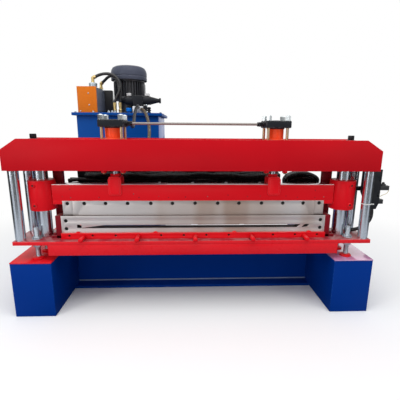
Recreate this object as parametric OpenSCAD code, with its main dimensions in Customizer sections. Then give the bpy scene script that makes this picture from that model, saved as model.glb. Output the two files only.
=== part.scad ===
// Cut-off press of a roofing sheet roll forming machine, with its hydraulic power unit.
// Units are millimetres. +Z is up, the operator's side is -Y, and the origin lies on
// the floor at the middle of the base's cross beam.

/* [Base] */
// Distance between the centre lines of the two pedestals
pedestal_span = 1614; // [1400:2:2000]
// Width of a pedestal
pedestal_w = 200; // [180:2:240]
// Height of a pedestal without its top plate
pedestal_h = 286; // [240:2:340]
// Length of a pedestal, front to back
pedestal_l = 780; // [740:10:900]
// Thickness of a pedestal's walls
pedestal_wall = 8; // [6:1:12]
// Thickness of the plate on top of a pedestal
top_plate_t = 6; // [5:1:10]
// Width of the cross beam's flanges
cross_flange_w = 200; // [120:2:220]
// Height of the cross beam
cross_h = 260; // [200:2:280]
// Thickness of the cross beam's flanges
cross_flange_t = 14; // [10:1:18]
// Thickness of the cross beam's webs
cross_web_t = 9; // [8:1:14]
// Gap between the cross beam's two webs
cross_web_gap = 28; // [10:2:60]

/* [Cutter frame] */
// Distance from the pedestals' front end to the cutter's middle plane
cutter_setback = 115; // [112:1:160]
// Depth of the cutter frame, front to back
frame_d = 200; // [200:2:240]
// Width of the cutter's base plate
base_plate_w = 1776; // [1772:2:1860]
// Thickness of the base plate
base_plate_t = 20; // [16:1:30]
// Height of the jack bolts' free stretch under the base plate
jack_gap = 83; // [78:1:120]
// Width of the box that stiffens the base plate
apron_w = 1438; // [1360:2:1460]
// Depth of the box below the base plate
apron_h = 53; // [40:1:66]
// Thickness of the box's plates
apron_t = 12; // [8:1:16]
// Clear height between the base plate and the top beam
frame_clear_h = 347; // [340:1:420]
// Width of the top beam along its underside
top_beam_w = 1786; // [1772:2:1860]
// Height of the top beam
top_beam_h = 144; // [120:2:180]
// Thickness of the top beam's plates
top_beam_t = 12; // [10:1:20]
// Length of the bevel at each end of the top beam
bevel_l = 77; // [40:1:100]
// Drop of the bevel at each end of the top beam
bevel_h = 50; // [30:1:70]

/* [Posts] */
// Distance between the corner posts' centres, left to right
post_span = 1716; // [1700:2:1722]
// Distance between the corner posts' centres, front to back
post_pitch = 146; // [140:1:150]
// Diameter of a corner post
post_d = 48; // [40:1:50]
// Distance between the guide pillars' centres
guide_span = 1526; // [1500:2:1540]
// Diameter of a guide pillar
guide_d = 65; // [55:1:70]
// Distance between the bolts that hold the guide pillars
pillar_bolt_span = 1562; // [1550:2:1570]
// Diameter of the bolts that hold the guide pillars
pillar_bolt_d = 24; // [20:2:30]
// Diameter of a jack bolt
jack_d = 24; // [20:1:30]
// Distance between the jack bolts, left to right
jack_span = 1580; // [1560:2:1600]
// Distance between the jack bolts, front to back
jack_pitch = 104; // [100:2:120]
// Length of a jack bolt above the base plate
jack_above = 58; // [40:1:70]

/* [Blade carriage] */
// How far the blade carriage travels down
stroke = 46; // [30:1:50]
// Outer diameter of a guide sleeve
sleeve_d = 126; // [110:1:140]
// Length of a guide sleeve
sleeve_h = 149; // [120:1:170]
// Running clearance between a sleeve and its pillar, on the radius
guide_clear = 0.5; // [0.3:0.1:1]
// Height of the blade beam
blade_beam_h = 83; // [70:1:100]
// Thickness of the blade beam, front to back
blade_beam_d = 68; // [60:1:80]
// Length of the moving blade
blade_l = 1314; // [1280:2:1320]
// Length of an end shoe of the moving blade
shoe_l = 46; // [30:1:60]
// Thickness of the moving blade
blade_t = 16; // [12:1:20]
// Height of the moving blade
blade_h = 118; // [110:1:122]
// Height of the end shoes of the moving blade
shoe_h = 70; // [60:1:74]

/* [Dies] */
// Length of a die plate
die_l = 1332; // [1330:2:1340]
// Thickness of a die plate
die_t = 12; // [10:1:14]
// Height of a die plate
die_h = 115; // [110:1:116]
// Gap between the moving blade and each die
shear_gap = 2; // [1:0.5:3]
// Height of the sheet slot
slot_h = 15; // [10:1:16]
// Height of the slot's lower edge over the base plate
slot_z = 51; // [46:1:54]
// Left end of the sheet slot
slot_left = 470; // [400:5:540]
// Right end of the sheet slot
slot_right = 541; // [400:1:550]
// Height of the bar that holds a die
holder_h = 27; // [20:1:34]
// Thickness of the bar that holds a die
holder_t = 15; // [12:1:18]

/* [Cylinders] */
// Distance between the two cylinders
cylinder_span = 792; // [700:2:900]
// Outer diameter of a cylinder tube
tube_d = 80; // [70:1:90]
// Bore of a cylinder
bore_d = 63; // [50:1:63]
// Diameter of a piston rod
rod_d = 32; // [28:1:40]
// Side of a cylinder's square cap
cap_side = 122; // [110:1:130]
// Thickness of a cylinder's cap
cap_t = 34; // [28:1:40]
// Height of the tube that stands out of the top beam
tube_above = 56; // [40:1:80]
// Distance between tie rods
tie_pitch = 92; // [90:1:98]
// Diameter of a tie rod
tie_d = 14; // [12:1:16]
// Width of a clevis
clevis_w = 72; // [60:1:80]

/* [Power unit] */
// Width of the oil tank
tank_w = 576; // [500:2:640]
// Depth of the oil tank
tank_d = 600; // [500:5:700]
// Height of the oil tank
tank_h = 900; // [800:5:940]
// Height of the feet under the tank
tank_foot_h = 120; // [80:5:160]
// Distance of the tank's middle to the left of the machine's middle
tank_x = 529; // [500:1:700]
// Distance of the tank's front behind the cross beam's middle
tank_y = 480; // [420:5:560]
// Overhang of the tank's lid
lid_over = 25; // [15:1:30]
// Thickness of the lid
lid_t = 20; // [10:1:25]
// Diameter of the motor's fan cover
motor_d = 264; // [220:2:280]
// Outside diameter of the hoses
hose_d = 20; // [16:1:24]

/* [Hidden] */

round_fn = 64;
hose_sides = 10;
gland_side = 26;
fit_gap = 0.3;
bolt_clear = 1;
rod_clear = 0.5;
run_clear = 5;

pedestal_x = pedestal_span / 2;
pedestal_front = -pedestal_l / 2;
pedestal_inner_x = pedestal_x - pedestal_w / 2;
foot_flange = 60;
base_top = pedestal_h + top_plate_t;

cutter_y = pedestal_front + cutter_setback;
frame_front = cutter_y - frame_d / 2;
frame_back = cutter_y + frame_d / 2;
plate_bottom = base_top + jack_gap;
plate_top = plate_bottom + base_plate_t;
beam_bottom = plate_top + frame_clear_h;
beam_top = beam_bottom + top_beam_h;
beam_floor = beam_bottom + top_beam_t;

post_x = post_span / 2;
post_r = post_d / 2;
guide_x = guide_span / 2;
jack_x = jack_span / 2;
jack_nut_across = 1.5 * jack_d;
jack_nut_h = 0.7 * jack_d;
jack_pad_d = 56;
jack_pad_h = 12;
pillar_bolt_x = pillar_bolt_span / 2;
pillar_bolt_across = 1.5 * pillar_bolt_d;
pillar_bolt_head_h = 16;

blade_front = cutter_y - blade_beam_d / 2;
blade_beam_back = cutter_y + blade_beam_d / 2;
blade_back = blade_front + blade_t;
front_die_back = blade_front - shear_gap;
front_die_y = front_die_back - die_t;
rear_die_y = blade_back + shear_gap;
rear_die_back = rear_die_y + die_t;
slot_bottom = plate_top + slot_z;
slot_top = slot_bottom + slot_h;
blade_bottom = slot_top + 4;
blade_top = blade_bottom + blade_h;
spacer_h = blade_bottom - stroke - run_clear - plate_top;
spacer_l = die_l - 60;
lip_h = 22;
shoe_joint = 1.5;
main_blade_l = blade_l - 2 * shoe_l - 2 * shoe_joint;
slot_notch_w = 22;
slot_notch_x = slot_left + 110;
slot_window_x = slot_right + 11;
slot_window_w = 30;

blade_beam_top = blade_top + blade_beam_h;
sleeve_r = sleeve_d / 2;
sleeve_top = blade_beam_top + 20;
sleeve_bottom = sleeve_top - sleeve_h;
ear_h = 17;
beam_end_x = guide_x - sleeve_r + 4;

holder_lug_x = [200, 592];
holder_lug_d = 30;
holder_lug_t = 8;
stop_bar_d = 22;
stop_bar_over = 25;
stop_bar_x = [-555, -285, 0, 285, 555];
bracket_w = 28;
bracket_d = 70;
bracket_foot_w = 52;
bracket_foot_h = 14;

upright_w = 50;
upright_d = 30;
upright_x = guide_x - 53;
upright_y = cutter_y + sleeve_r + run_clear + 1;

cylinder_x = cylinder_span / 2;
tube_top = beam_top + tube_above;
cap_top = tube_top + cap_t;
tie_nut_h = 16;
tie_nut_across = 24;
tie_end = 6;
piston_h = 30;
piston_bottom = beam_floor + run_clear + stroke;
clevis_top = beam_bottom - 28;
clevis_drop = 52;
clevis_cheek_t = 6;
clevis_pad_w = clevis_w - 18;
clevis_pad_t = 3;
tee_w = 30;
tee_side = 28;
link_pipe_d = 12;
link_pipe_z = tube_top + cap_t / 2;

arm_z = blade_beam_top - 37;
arm_h = 22;
arm_t = 12;
arm_end = post_x + 67;
switch_plate_t = 10;
switch_plate_y = cutter_y - post_pitch / 2 + post_r + 3;
switch_plate_left = post_x - 18;
switch_plate_w = 108;
switch_plate_bottom = plate_top + 145;
switch_z = [arm_z + 19, arm_z - 52];
switch_l = 90;
switch_h = 24;
switch_d = 22;

tray_y = upright_y + upright_d;
tray_d = 74;
tray_t = 4;
tray_z = blade_beam_top - 66;
tray_l = 2 * upright_x + upright_w;
bundle_h = 70;
bundle_left = 680;
bundle_right = 470;
bundle_upper_h = 34;
bundle_upper_left = 590;
coil_left = 490;
coil_l = 200;
coil_h = 108;
coil_joint_h = 24;

tank_left = -tank_x - tank_w / 2;
tank_right = -tank_x + tank_w / 2;
tank_wall = 5;
tank_top = tank_foot_h + tank_h;
lid_top = tank_top + lid_t;
tank_foot_w = 60;
cooler_w = 134;
cooler_h = 176;
cooler_d = 240;
cooler_x = tank_left + 14;
cooler_y = tank_y + 4;
collar_d = 52;
breather_h = 40;
collar_low_h = 10;
elbow_nose = 24;
elbow_rise = 8;
fan_w = 190;
fan_d = 80;
fan_h = 160;
motor_x = tank_left + 342;
motor_y = tank_y + 220;
bell_d = 170;
bell_h = 110;
motor_body_d = 232;
motor_body_h = 130;
cover_h = 100;
block_w = 76;
block_d = 80;
block_h = 104;
block_x = tank_right - 154;
block_y = tank_y + 65;
solenoid_d = 40;
solenoid_z = lid_top + 78;
solenoid_l = 100;

// Routes of the hoses, chosen by hand
cylinder_route = [
    [-395, 545, 1086], [-395, 515, 1086], [-391.6, 437.1, 1070.9], [-387.3, 379.4, 1052.6],
    [-382.2, 320.6, 1031.8], [-376.5, 261.7, 1010.8], [-370.1, 203.3, 991.5], [-363, 145, 974.8],
    [-355.8, 86.5, 961.3], [-348.6, 27.8, 951.5], [-341.3, -31.2, 945.9], [-334.1, -89.9, 944.5],
    [-327.4, -147.4, 948.4], [-320, -231, 959], [-320, -261, 959]
];
return_route = [
    [-365, 545, 1066], [-365, 515, 1066], [-351.6, 466.6, 1063.5], [-337.3, 424.5, 1054.9],
    [-322.8, 381.6, 1039.1], [-308.2, 336.1, 1016.7], [-295.5, 292.2, 990.6], [-285.5, 250.6, 960.9],
    [-278.5, 209.8, 927.3], [-275, 168.5, 891.6], [-275.3, 132, 863.2], [-279.8, 96.9, 844.1],
    [-289.7, 56.3, 829.3], [-304.6, 8.8, 817.5], [-320.8, -42.1, 808.8], [-330.2, -78.4, 800.1],
    [-334.8, -102.5, 786.6], [-337, -120.1, 767.6], [-338, -137, 739], [-338, -137, 709]
];
cooler_route = [
    [-674, 514, 1284], [-648.6, 514, 1295.5], [-622.4, 514, 1301.7], [-596.2, 514, 1303.9],
    [-570.9, 514, 1300.8], [-548.3, 514, 1291.7], [-529.5, 514, 1276.5], [-515.8, 514, 1256.8],
    [-508.8, 514, 1233.8], [-508.6, 514, 1209.5], [-515.4, 514, 1185.7], [-528.2, 514, 1161.5],
    [-542.1, 514, 1136.8], [-552, 514, 1113.2], [-552, 514, 1088]
];
cooler_return_route = [
    [-666, 668, 1266], [-646.6, 652, 1277.4], [-628.5, 635.4, 1289.1], [-610.3, 619.8, 1297.8],
    [-592.3, 604.5, 1301.8], [-574.8, 589.3, 1300], [-558.3, 574.9, 1292.6], [-543.8, 562.3, 1279.9],
    [-532.4, 552.4, 1262.6], [-524.6, 545.7, 1241.7], [-520.4, 542.1, 1218.2], [-519, 541, 1192.2],
    [-519, 541, 1164.5], [-519, 541, 1136.3], [-519, 541, 1108]
];
conduit_route = [
    [914, -300, 565], [914, -300, 548.6], [918.7, -297.5, 531.9], [923.2, -293.5, 513.6],
    [926.2, -288.5, 496.8], [927, -283.2, 481.7], [925.3, -277.9, 467.9], [921.1, -272.5, 454.8],
    [914.7, -267.3, 442.6], [906.2, -262.4, 431.8], [896, -258.1, 422.8], [884.4, -254.6, 415.7],
    [871.8, -252, 410.9], [858.6, -250, 408], [842, -250, 408]
];

function unit(v) = v / norm(v);

function heading(points, i) =
    unit(points[min(i + 1, len(points) - 1)] - points[max(i - 1, 0)]);

function ring_point(centre, along, side, radius, angle) =
    let (u = unit(cross(along, side)), w = cross(u, along))
    centre + radius * (cos(angle) * u + sin(angle) * w);

// A tube along a list of points, closed at both ends
module swept_tube(points, d, side) {
    n = hose_sides;
    last = len(points) - 1;
    rings = [
        for (i = [0:last], k = [0:n - 1])
            ring_point(points[i], heading(points, i), side, d / 2, 360 * k / n)
    ];
    walls = [
        for (i = [0:last - 1], k = [0:n - 1])
            let (a = i * n + k, b = i * n + (k + 1) % n)
            each [[a, a + n, b + n], [a, b + n, b]]
    ];
    first_end = [for (k = [0:n - 1]) k];
    last_end = [for (k = [n - 1:-1:0]) last * n + k];
    polyhedron(points = rings, faces = concat(walls, [first_end], [last_end]));
}

// A box centred on X, from y and z upwards
module block(x, y, z, w, d, h) {
    translate([x - w / 2, y, z]) cube([w, d, h]);
}

module upright_rod(x, y, z, d, h) {
    translate([x, y, z]) cylinder(d = d, h = h, $fn = round_fn);
}

module level_rod(x, y, z, d, l) {
    translate([x, y, z]) rotate([-90, 0, 0]) cylinder(d = d, h = l, $fn = round_fn);
}

module hex(x, y, z, across, h) {
    translate([x, y, z]) cylinder(d = across / cos(30), h = h, $fn = 6);
}

module pedestal(side) {
    color("royalblue") difference() {
        block(side * pedestal_x, pedestal_front, 0, pedestal_w, pedestal_l, pedestal_h);
        block(side * pedestal_x, pedestal_front + pedestal_wall, pedestal_wall,
            pedestal_w - 2 * pedestal_wall, pedestal_l - 2 * pedestal_wall,
            pedestal_h - 2 * pedestal_wall);
        block(side * pedestal_x, pedestal_front + foot_flange, -1,
            pedestal_w - 2 * foot_flange, pedestal_l - 2 * foot_flange, pedestal_wall + 2);
    }
}

module pedestal_tops() {
    color("red") for (side = [-1, 1])
        block(side * pedestal_x, pedestal_front, pedestal_h, pedestal_w, pedestal_l, top_plate_t);
}

module cross_beam() {
    length = 2 * pedestal_inner_x;
    color("royalblue") {
        block(0, -cross_flange_w / 2, 0, length, cross_flange_w, cross_flange_t);
        block(0, -cross_flange_w / 2, cross_h - cross_flange_t, length, cross_flange_w,
            cross_flange_t);
        for (y = [-cross_web_gap / 2 - cross_web_t, cross_web_gap / 2])
            block(0, y, 0, length, cross_web_t, cross_h);
    }
}

module at_jacks() {
    for (x = [-jack_x, jack_x], y = [-jack_pitch / 2, jack_pitch / 2])
        translate([x, cutter_y + y, 0]) children();
}

module base_plate() {
    color("crimson") difference() {
        union() {
            block(0, frame_front, plate_bottom, base_plate_w, frame_d, base_plate_t);
            block(0, frame_front, plate_bottom - apron_h, apron_w, frame_d, apron_h);
        }
        block(0, frame_front + apron_t, plate_bottom - apron_h - 1, apron_w - 2 * apron_t,
            frame_d - 2 * apron_t, apron_h + 1);
        at_jacks() upright_rod(0, 0, plate_bottom - 1, jack_d + 2 * bolt_clear, base_plate_t + 2);
    }
}

module jack_bolts() {
    color("silver") at_jacks() {
        upright_rod(0, 0, base_top + jack_pad_h, jack_d,
            plate_top + jack_above - base_top - jack_pad_h);
        hex(0, 0, plate_top, jack_nut_across, jack_nut_h);
        hex(0, 0, plate_bottom - jack_nut_h, jack_nut_across, jack_nut_h);
    }
}

module jack_pads() {
    color("red") at_jacks() upright_rod(0, 0, base_top, jack_pad_d, jack_pad_h);
}

module corner_posts() {
    color("gainsboro") for (x = [-post_x, post_x], y = [-post_pitch / 2, post_pitch / 2])
        upright_rod(x, cutter_y + y, plate_top, post_d, frame_clear_h);
}

module guide_pillars() {
    color("gainsboro") for (x = [-guide_x, guide_x])
        upright_rod(x, cutter_y, plate_top, guide_d, frame_clear_h);
}

// Outline of the top beam seen from the front, drawn in by a wall's thickness
module beam_outline(inset) {
    half = top_beam_w / 2 - inset;
    low = inset;
    high = top_beam_h - inset;
    slope = bevel_h / bevel_l;
    corner = inset * (sqrt(1 + slope * slope) - 1) / slope;
    polygon([
        [-half, low], [half, low], [half, top_beam_h - bevel_h - corner * slope],
        [half - bevel_l + corner, high], [-half + bevel_l - corner, high],
        [-half, top_beam_h - bevel_h - corner * slope]
    ]);
}

module beam_solid(inset) {
    translate([0, frame_back - inset, beam_bottom]) rotate([90, 0, 0])
        linear_extrude(frame_d - 2 * inset) beam_outline(inset);
}

module at_tie_rods(side) {
    for (x = [-tie_pitch / 2, tie_pitch / 2], y = [-tie_pitch / 2, tie_pitch / 2])
        translate([side * cylinder_x + x, cutter_y + y, 0]) children();
}

module top_beam() {
    through = top_beam_h + 2;
    color("crimson") difference() {
        beam_solid(0);
        beam_solid(top_beam_t);
        for (side = [-1, 1]) {
            upright_rod(side * cylinder_x, cutter_y, beam_bottom - 1, rod_d + 2 * rod_clear,
                through);
            upright_rod(side * cylinder_x, cutter_y, beam_floor + 1, tube_d + 2 * rod_clear,
                through);
            upright_rod(side * pillar_bolt_x, cutter_y, beam_bottom - 1,
                pillar_bolt_d + 2 * bolt_clear, through);
            at_tie_rods(side)
                upright_rod(0, 0, beam_bottom - 1, tie_d + 2 * rod_clear, through);
        }
    }
}

module pillar_bolts() {
    color("dimgray") for (side = [-1, 1]) {
        upright_rod(side * pillar_bolt_x, cutter_y, beam_bottom, pillar_bolt_d, top_beam_h);
        hex(side * pillar_bolt_x, cutter_y, beam_top, pillar_bolt_across, pillar_bolt_head_h);
    }
}

// The slot that the sheet runs through, with the relief cuts at its ends
module sheet_slot(y) {
    length = slot_left + slot_right;
    translate([-slot_left, y - 1, slot_bottom]) cube([length, die_t + 2, slot_h]);
    translate([-slot_notch_x - slot_notch_w / 2, y - 1, slot_bottom])
        cube([slot_notch_w, die_t + 2, slot_h]);
    translate([slot_window_x, y - 1, slot_bottom])
        cube([slot_window_w, die_t + 2, slot_h]);
}

module die(y) {
    color("lightgray") difference() {
        block(0, y, plate_top, die_l, die_t, die_h);
        sheet_slot(y);
    }
}

module die_spacer() {
    color("lightgray")
        block(0, front_die_back, plate_top, spacer_l, blade_t + 2 * shear_gap, spacer_h);
}

module front_die_holder() {
    y = front_die_y - holder_t;
    color("red") {
        block(0, y, plate_top, die_l, holder_t, holder_h);
        for (side = [-1, 1], x = holder_lug_x)
            level_rod(side * x, front_die_y - holder_lug_t, plate_top + holder_h, holder_lug_d,
                holder_lug_t);
    }
}

module rear_die_holder() {
    color("red") block(0, rear_die_back, plate_top, die_l, holder_t, holder_h);
}

module stop_bars() {
    back = front_die_y - holder_t;
    front = frame_front - stop_bar_over;
    color("red") for (x = stop_bar_x)
        level_rod(x, front, plate_top + stop_bar_d / 2, stop_bar_d, back - front);
}

module die_brackets() {
    inner_x = die_l / 2 + fit_gap;
    color("firebrick") for (side = [-1, 1]) {
        block(side * (inner_x + bracket_w / 2), front_die_y, plate_top, bracket_w, bracket_d,
            die_h);
        block(side * (inner_x + bracket_foot_w / 2), front_die_y, plate_top, bracket_foot_w,
            bracket_d, bracket_foot_h);
    }
}

module rear_uprights() {
    color("firebrick") for (side = [-1, 1])
        block(side * upright_x, upright_y, plate_top, upright_w, upright_d, frame_clear_h);
}

module blade_beam() {
    lip_z = blade_top - lip_h;
    color("crimson") difference() {
        union() {
            block(0, blade_front, blade_top, 2 * beam_end_x, blade_beam_d, blade_beam_h);
            block(0, blade_front, blade_top - ear_h, 2 * beam_end_x, blade_beam_d, ear_h);
            block(0, blade_back, lip_z, blade_l, blade_beam_back - blade_back, lip_h);
        }
        block(0, blade_front - 1, lip_z - 1, blade_l + 2 * shoe_joint, blade_t + 1, lip_h + 1);
        for (side = [-1, 1])
            upright_rod(side * guide_x, cutter_y, lip_z - 1, sleeve_d + 2 * fit_gap,
                lip_h + blade_beam_h + 2);
    }
}

module guide_sleeves() {
    color("red") for (x = [-guide_x, guide_x]) difference() {
        upright_rod(x, cutter_y, sleeve_bottom, sleeve_d, sleeve_h);
        upright_rod(x, cutter_y, sleeve_bottom - 1, guide_d + 2 * guide_clear, sleeve_h + 2);
    }
}

module moving_blade() {
    color("lightgray") block(0, blade_front, blade_bottom, main_blade_l, blade_t, blade_h);
}

module blade_shoes() {
    x = blade_l / 2 - shoe_l / 2;
    color("lightgray") for (side = [-1, 1])
        block(side * x, blade_front, blade_top - shoe_h, shoe_l, blade_t, shoe_h);
}

// A cheek of the clevis: a plate with a round lower end, lying against the blade beam
module cheek(x, y, w, t) {
    bottom = blade_beam_top - clevis_drop;
    r = w / 4;
    translate([x, y, 0]) {
        block(0, 0, bottom + r, w, t, clevis_top - bottom - r);
        block(0, 0, bottom, w - 2 * r, t, r + 1);
        for (side = [-1, 1])
            level_rod(side * (w / 2 - r), 0, bottom + r, 2 * r, t);
    }
}

module clevises() {
    color("crimson") for (x = [-cylinder_x, cylinder_x]) {
        block(x, blade_front - 1, blade_beam_top, clevis_w, blade_beam_d + 2,
            clevis_top - blade_beam_top);
        cheek(x, blade_front - clevis_cheek_t, clevis_w, clevis_cheek_t);
        cheek(x, blade_beam_back, clevis_w, clevis_cheek_t);
        cheek(x, blade_front - clevis_cheek_t - clevis_pad_t, clevis_pad_w, clevis_pad_t + 1);
    }
}

module piston_rods() {
    color("gainsboro") for (x = [-cylinder_x, cylinder_x]) {
        upright_rod(x, cutter_y, clevis_top, rod_d, piston_bottom - clevis_top + 1);
        upright_rod(x, cutter_y, piston_bottom, bore_d - 2 * rod_clear, piston_h);
    }
}

module trip_arm() {
    start = guide_x + sleeve_r - 4;
    color("dimgray") difference() {
        translate([start, cutter_y - arm_t / 2, arm_z]) cube([arm_end - start, arm_t, arm_h]);
        upright_rod(guide_x, cutter_y, arm_z - 1, sleeve_d + 2 * fit_gap, arm_h + 2);
    }
}

module hydraulic_cylinder(side) {
    x = side * cylinder_x;
    bore_h = tube_top - beam_floor;
    color("tomato") difference() {
        union() {
            upright_rod(x, cutter_y, beam_floor, tube_d, bore_h);
            block(x, cutter_y - cap_side / 2, tube_top, cap_side, cap_side, cap_t);
        }
        upright_rod(x, cutter_y, beam_floor - 1, bore_d, bore_h + 1);
        at_tie_rods(side) upright_rod(0, 0, tube_top - 1, tie_d + 2 * rod_clear, cap_t + 2);
    }
}

module tie_rods() {
    low = beam_bottom - tie_nut_h - tie_end;
    high = cap_top + tie_nut_h + tie_end;
    color("goldenrod") for (side = [-1, 1]) at_tie_rods(side) {
        upright_rod(0, 0, low, tie_d, high - low);
        hex(0, 0, beam_bottom - tie_nut_h, tie_nut_across, tie_nut_h);
        hex(0, 0, cap_top, tie_nut_across, tie_nut_h);
    }
}

module link_pipe() {
    tee_x = cylinder_x - cap_side / 2 - tee_w / 2;
    color("silver") {
        for (side = [-1, 1])
            block(side * tee_x, cutter_y - tee_side / 2, link_pipe_z - tee_side / 2, tee_w,
                tee_side, tee_side);
        translate([-tee_x, cutter_y, link_pipe_z]) rotate([0, 90, 0])
            cylinder(d = link_pipe_d, h = 2 * tee_x, $fn = round_fn);
    }
}

module switch_plate() {
    color("dimgray")
        translate([switch_plate_left, switch_plate_y, switch_plate_bottom])
            cube([switch_plate_w, switch_plate_t, beam_bottom - switch_plate_bottom]);
}

module limit_switches() {
    right = switch_plate_left + switch_plate_w;
    color("black") for (z = switch_z)
        translate([right - switch_l / 2, switch_plate_y + switch_plate_t, z - switch_h / 2])
            cube([switch_l, switch_d, switch_h]);
}

module hose_tray() {
    color("dimgray") {
        block(0, tray_y, tray_z, tray_l, tray_d, tray_t);
        block(0, tray_y, tray_z, tray_l, tray_t, bundle_h / 2);
        block(0, tray_y + tray_d - tray_t, tray_z, tray_l, tray_t, bundle_h / 2);
    }
}

module hose_bundle() {
    w = tray_d - 2 * tray_t - 2 * fit_gap;
    y = tray_y + tray_t + fit_gap;
    z = tray_z + tray_t + fit_gap;
    color("black") {
        translate([-bundle_left, y, z]) cube([bundle_left + bundle_right, w, bundle_h]);
        translate([-bundle_upper_left, y + 10, z + bundle_h - 1])
            cube([bundle_upper_left + bundle_right, w - 20, bundle_upper_h + 1]);
        translate([bundle_right - 1, y, z])
            cube([coil_left - bundle_right + 2, w, coil_joint_h]);
        translate([coil_left, y, z]) cube([coil_l, w, coil_h]);
    }
}

module tank_feet() {
    color("royalblue") for (x = [tank_left + tank_foot_w / 2, tank_right - tank_foot_w / 2])
        block(x, tank_y, 0, tank_foot_w, tank_d, tank_foot_h);
}

module oil_tank() {
    color("royalblue") difference() {
        block(-tank_x, tank_y, tank_foot_h, tank_w, tank_d, tank_h);
        block(-tank_x, tank_y + tank_wall, tank_foot_h + tank_wall, tank_w - 2 * tank_wall,
            tank_d - 2 * tank_wall, tank_h);
    }
}

module tank_lid() {
    color("royalblue")
        block(-tank_x, tank_y - lid_over, tank_top, tank_w + 2 * lid_over,
            tank_d + 2 * lid_over, lid_t);
}

module oil_cooler() {
    color("orange")
        translate([cooler_x, cooler_y, lid_top]) cube([cooler_w, cooler_d, cooler_h]);
}

module cooler_fan() {
    color("dimgray")
        translate([cooler_x, cooler_y + cooler_d, lid_top]) cube([fan_w, fan_d, fan_h]);
}

module pump_motor() {
    color("dimgray") {
        upright_rod(motor_x, motor_y, lid_top, bell_d, bell_h);
        upright_rod(motor_x, motor_y, lid_top + bell_h - 1, motor_body_d, motor_body_h + 1);
    }
}

module motor_fan_cover() {
    z = lid_top + bell_h + motor_body_h;
    r = motor_d / 2;
    color("slategray") translate([motor_x, motor_y, z]) rotate_extrude($fn = round_fn)
        polygon([[0, 0], [r, 0], [r, cover_h - 30], [r - 12, cover_h - 10], [r - 34, cover_h],
            [0, cover_h]]);
}

module valve_block() {
    color("silver") {
        translate([block_x - block_w / 2, block_y, lid_top]) cube([block_w, block_d, block_h]);
        translate([block_x - block_w / 2 - solenoid_l, block_y + block_d / 2, solenoid_z])
            rotate([0, 90, 0])
            cylinder(d = solenoid_d, h = block_w + 2 * solenoid_l, $fn = round_fn);
    }
}

// An elbow on top of the cooler: a collar, and a sloping nose that reaches the hose's first point
module cooler_elbow(route, collar_h) {
    start = route[0];
    along = unit(route[1] - start);
    foot = start - elbow_nose * along;
    turn = atan2(along[1], along[0]);
    tilt = acos(along[2]);
    upright_rod(foot[0], foot[1], lid_top + cooler_h, collar_d, collar_h);
    upright_rod(foot[0], foot[1], lid_top + cooler_h, hose_d + 6,
        foot[2] + elbow_rise - lid_top - cooler_h);
    translate(foot) rotate([0, tilt, turn])
        cylinder(d = hose_d + 6, h = elbow_nose, $fn = round_fn);
}

// Fittings that the hoses end in
module hose_fittings() {
    conduit_end = conduit_route[len(conduit_route) - 1];
    color("goldenrod") {
        cooler_elbow(cooler_route, breather_h);
        cooler_elbow(cooler_return_route, collar_low_h);
        for (route = [cooler_route, cooler_return_route]) {
            lid_end = route[len(route) - 1];
            upright_rod(lid_end[0], lid_end[1], lid_top, hose_d + 6, lid_end[2] - lid_top);
        }
        translate([conduit_end[0] - gland_side, conduit_end[1] - gland_side / 2, plate_top])
            cube([gland_side, gland_side, gland_side]);
    }
}

module cylinder_hose() {
    color("black") swept_tube(cylinder_route, hose_d, [1, 0, 0]);
}

module return_hose() {
    color("khaki") swept_tube(return_route, hose_d, [1, 0, 0]);
}

module cooler_hose() {
    color("black") swept_tube(cooler_route, hose_d, [0, 1, 0]);
}

module cooler_return_hose() {
    color("black") swept_tube(cooler_return_route, hose_d, [0, 1, 0]);
}

module switch_conduit() {
    color("black") swept_tube(conduit_route, hose_d, [0, 1, 0]);
}

pedestal(-1);  // pedestal_left
pedestal(1);  // pedestal_right
pedestal_tops();
cross_beam();
base_plate();
jack_bolts();
jack_pads();
corner_posts();
guide_pillars();
top_beam();
pillar_bolts();
die(front_die_y);  // front_die
die(rear_die_y);  // rear_die
die_spacer();
front_die_holder();
rear_die_holder();
stop_bars();
die_brackets();
rear_uprights();
blade_beam();
guide_sleeves();
moving_blade();
blade_shoes();
clevises();
piston_rods();
trip_arm();
hydraulic_cylinder(-1);  // cylinder_left
hydraulic_cylinder(1);  // cylinder_right
tie_rods();
link_pipe();
switch_plate();
limit_switches();
hose_tray();
hose_bundle();
tank_feet();
oil_tank();
tank_lid();
oil_cooler();
cooler_fan();
pump_motor();
motor_fan_cover();
valve_block();
hose_fittings();
cylinder_hose();
return_hose();
cooler_hose();
cooler_return_hose();
switch_conduit();
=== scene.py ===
"""Cut-off press of a roofing sheet roll forming machine, with its hydraulic power unit behind."""

import math

import bmesh
import bpy
from mathutils import Matrix, Vector


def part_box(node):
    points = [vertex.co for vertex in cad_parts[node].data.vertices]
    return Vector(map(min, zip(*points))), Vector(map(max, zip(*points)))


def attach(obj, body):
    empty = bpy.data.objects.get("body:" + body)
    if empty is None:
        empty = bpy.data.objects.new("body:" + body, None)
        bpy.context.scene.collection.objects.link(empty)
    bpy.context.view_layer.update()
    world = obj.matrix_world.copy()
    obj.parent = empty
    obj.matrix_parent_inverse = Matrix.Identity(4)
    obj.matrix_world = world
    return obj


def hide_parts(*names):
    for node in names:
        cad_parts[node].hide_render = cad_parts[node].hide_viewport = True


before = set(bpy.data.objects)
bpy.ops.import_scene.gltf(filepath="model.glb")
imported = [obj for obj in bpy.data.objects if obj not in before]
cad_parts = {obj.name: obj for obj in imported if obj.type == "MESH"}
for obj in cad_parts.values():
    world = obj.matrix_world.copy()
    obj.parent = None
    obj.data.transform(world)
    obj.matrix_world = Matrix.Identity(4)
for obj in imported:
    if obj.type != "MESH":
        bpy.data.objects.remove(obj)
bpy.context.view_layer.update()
scene = bpy.context.scene

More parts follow.
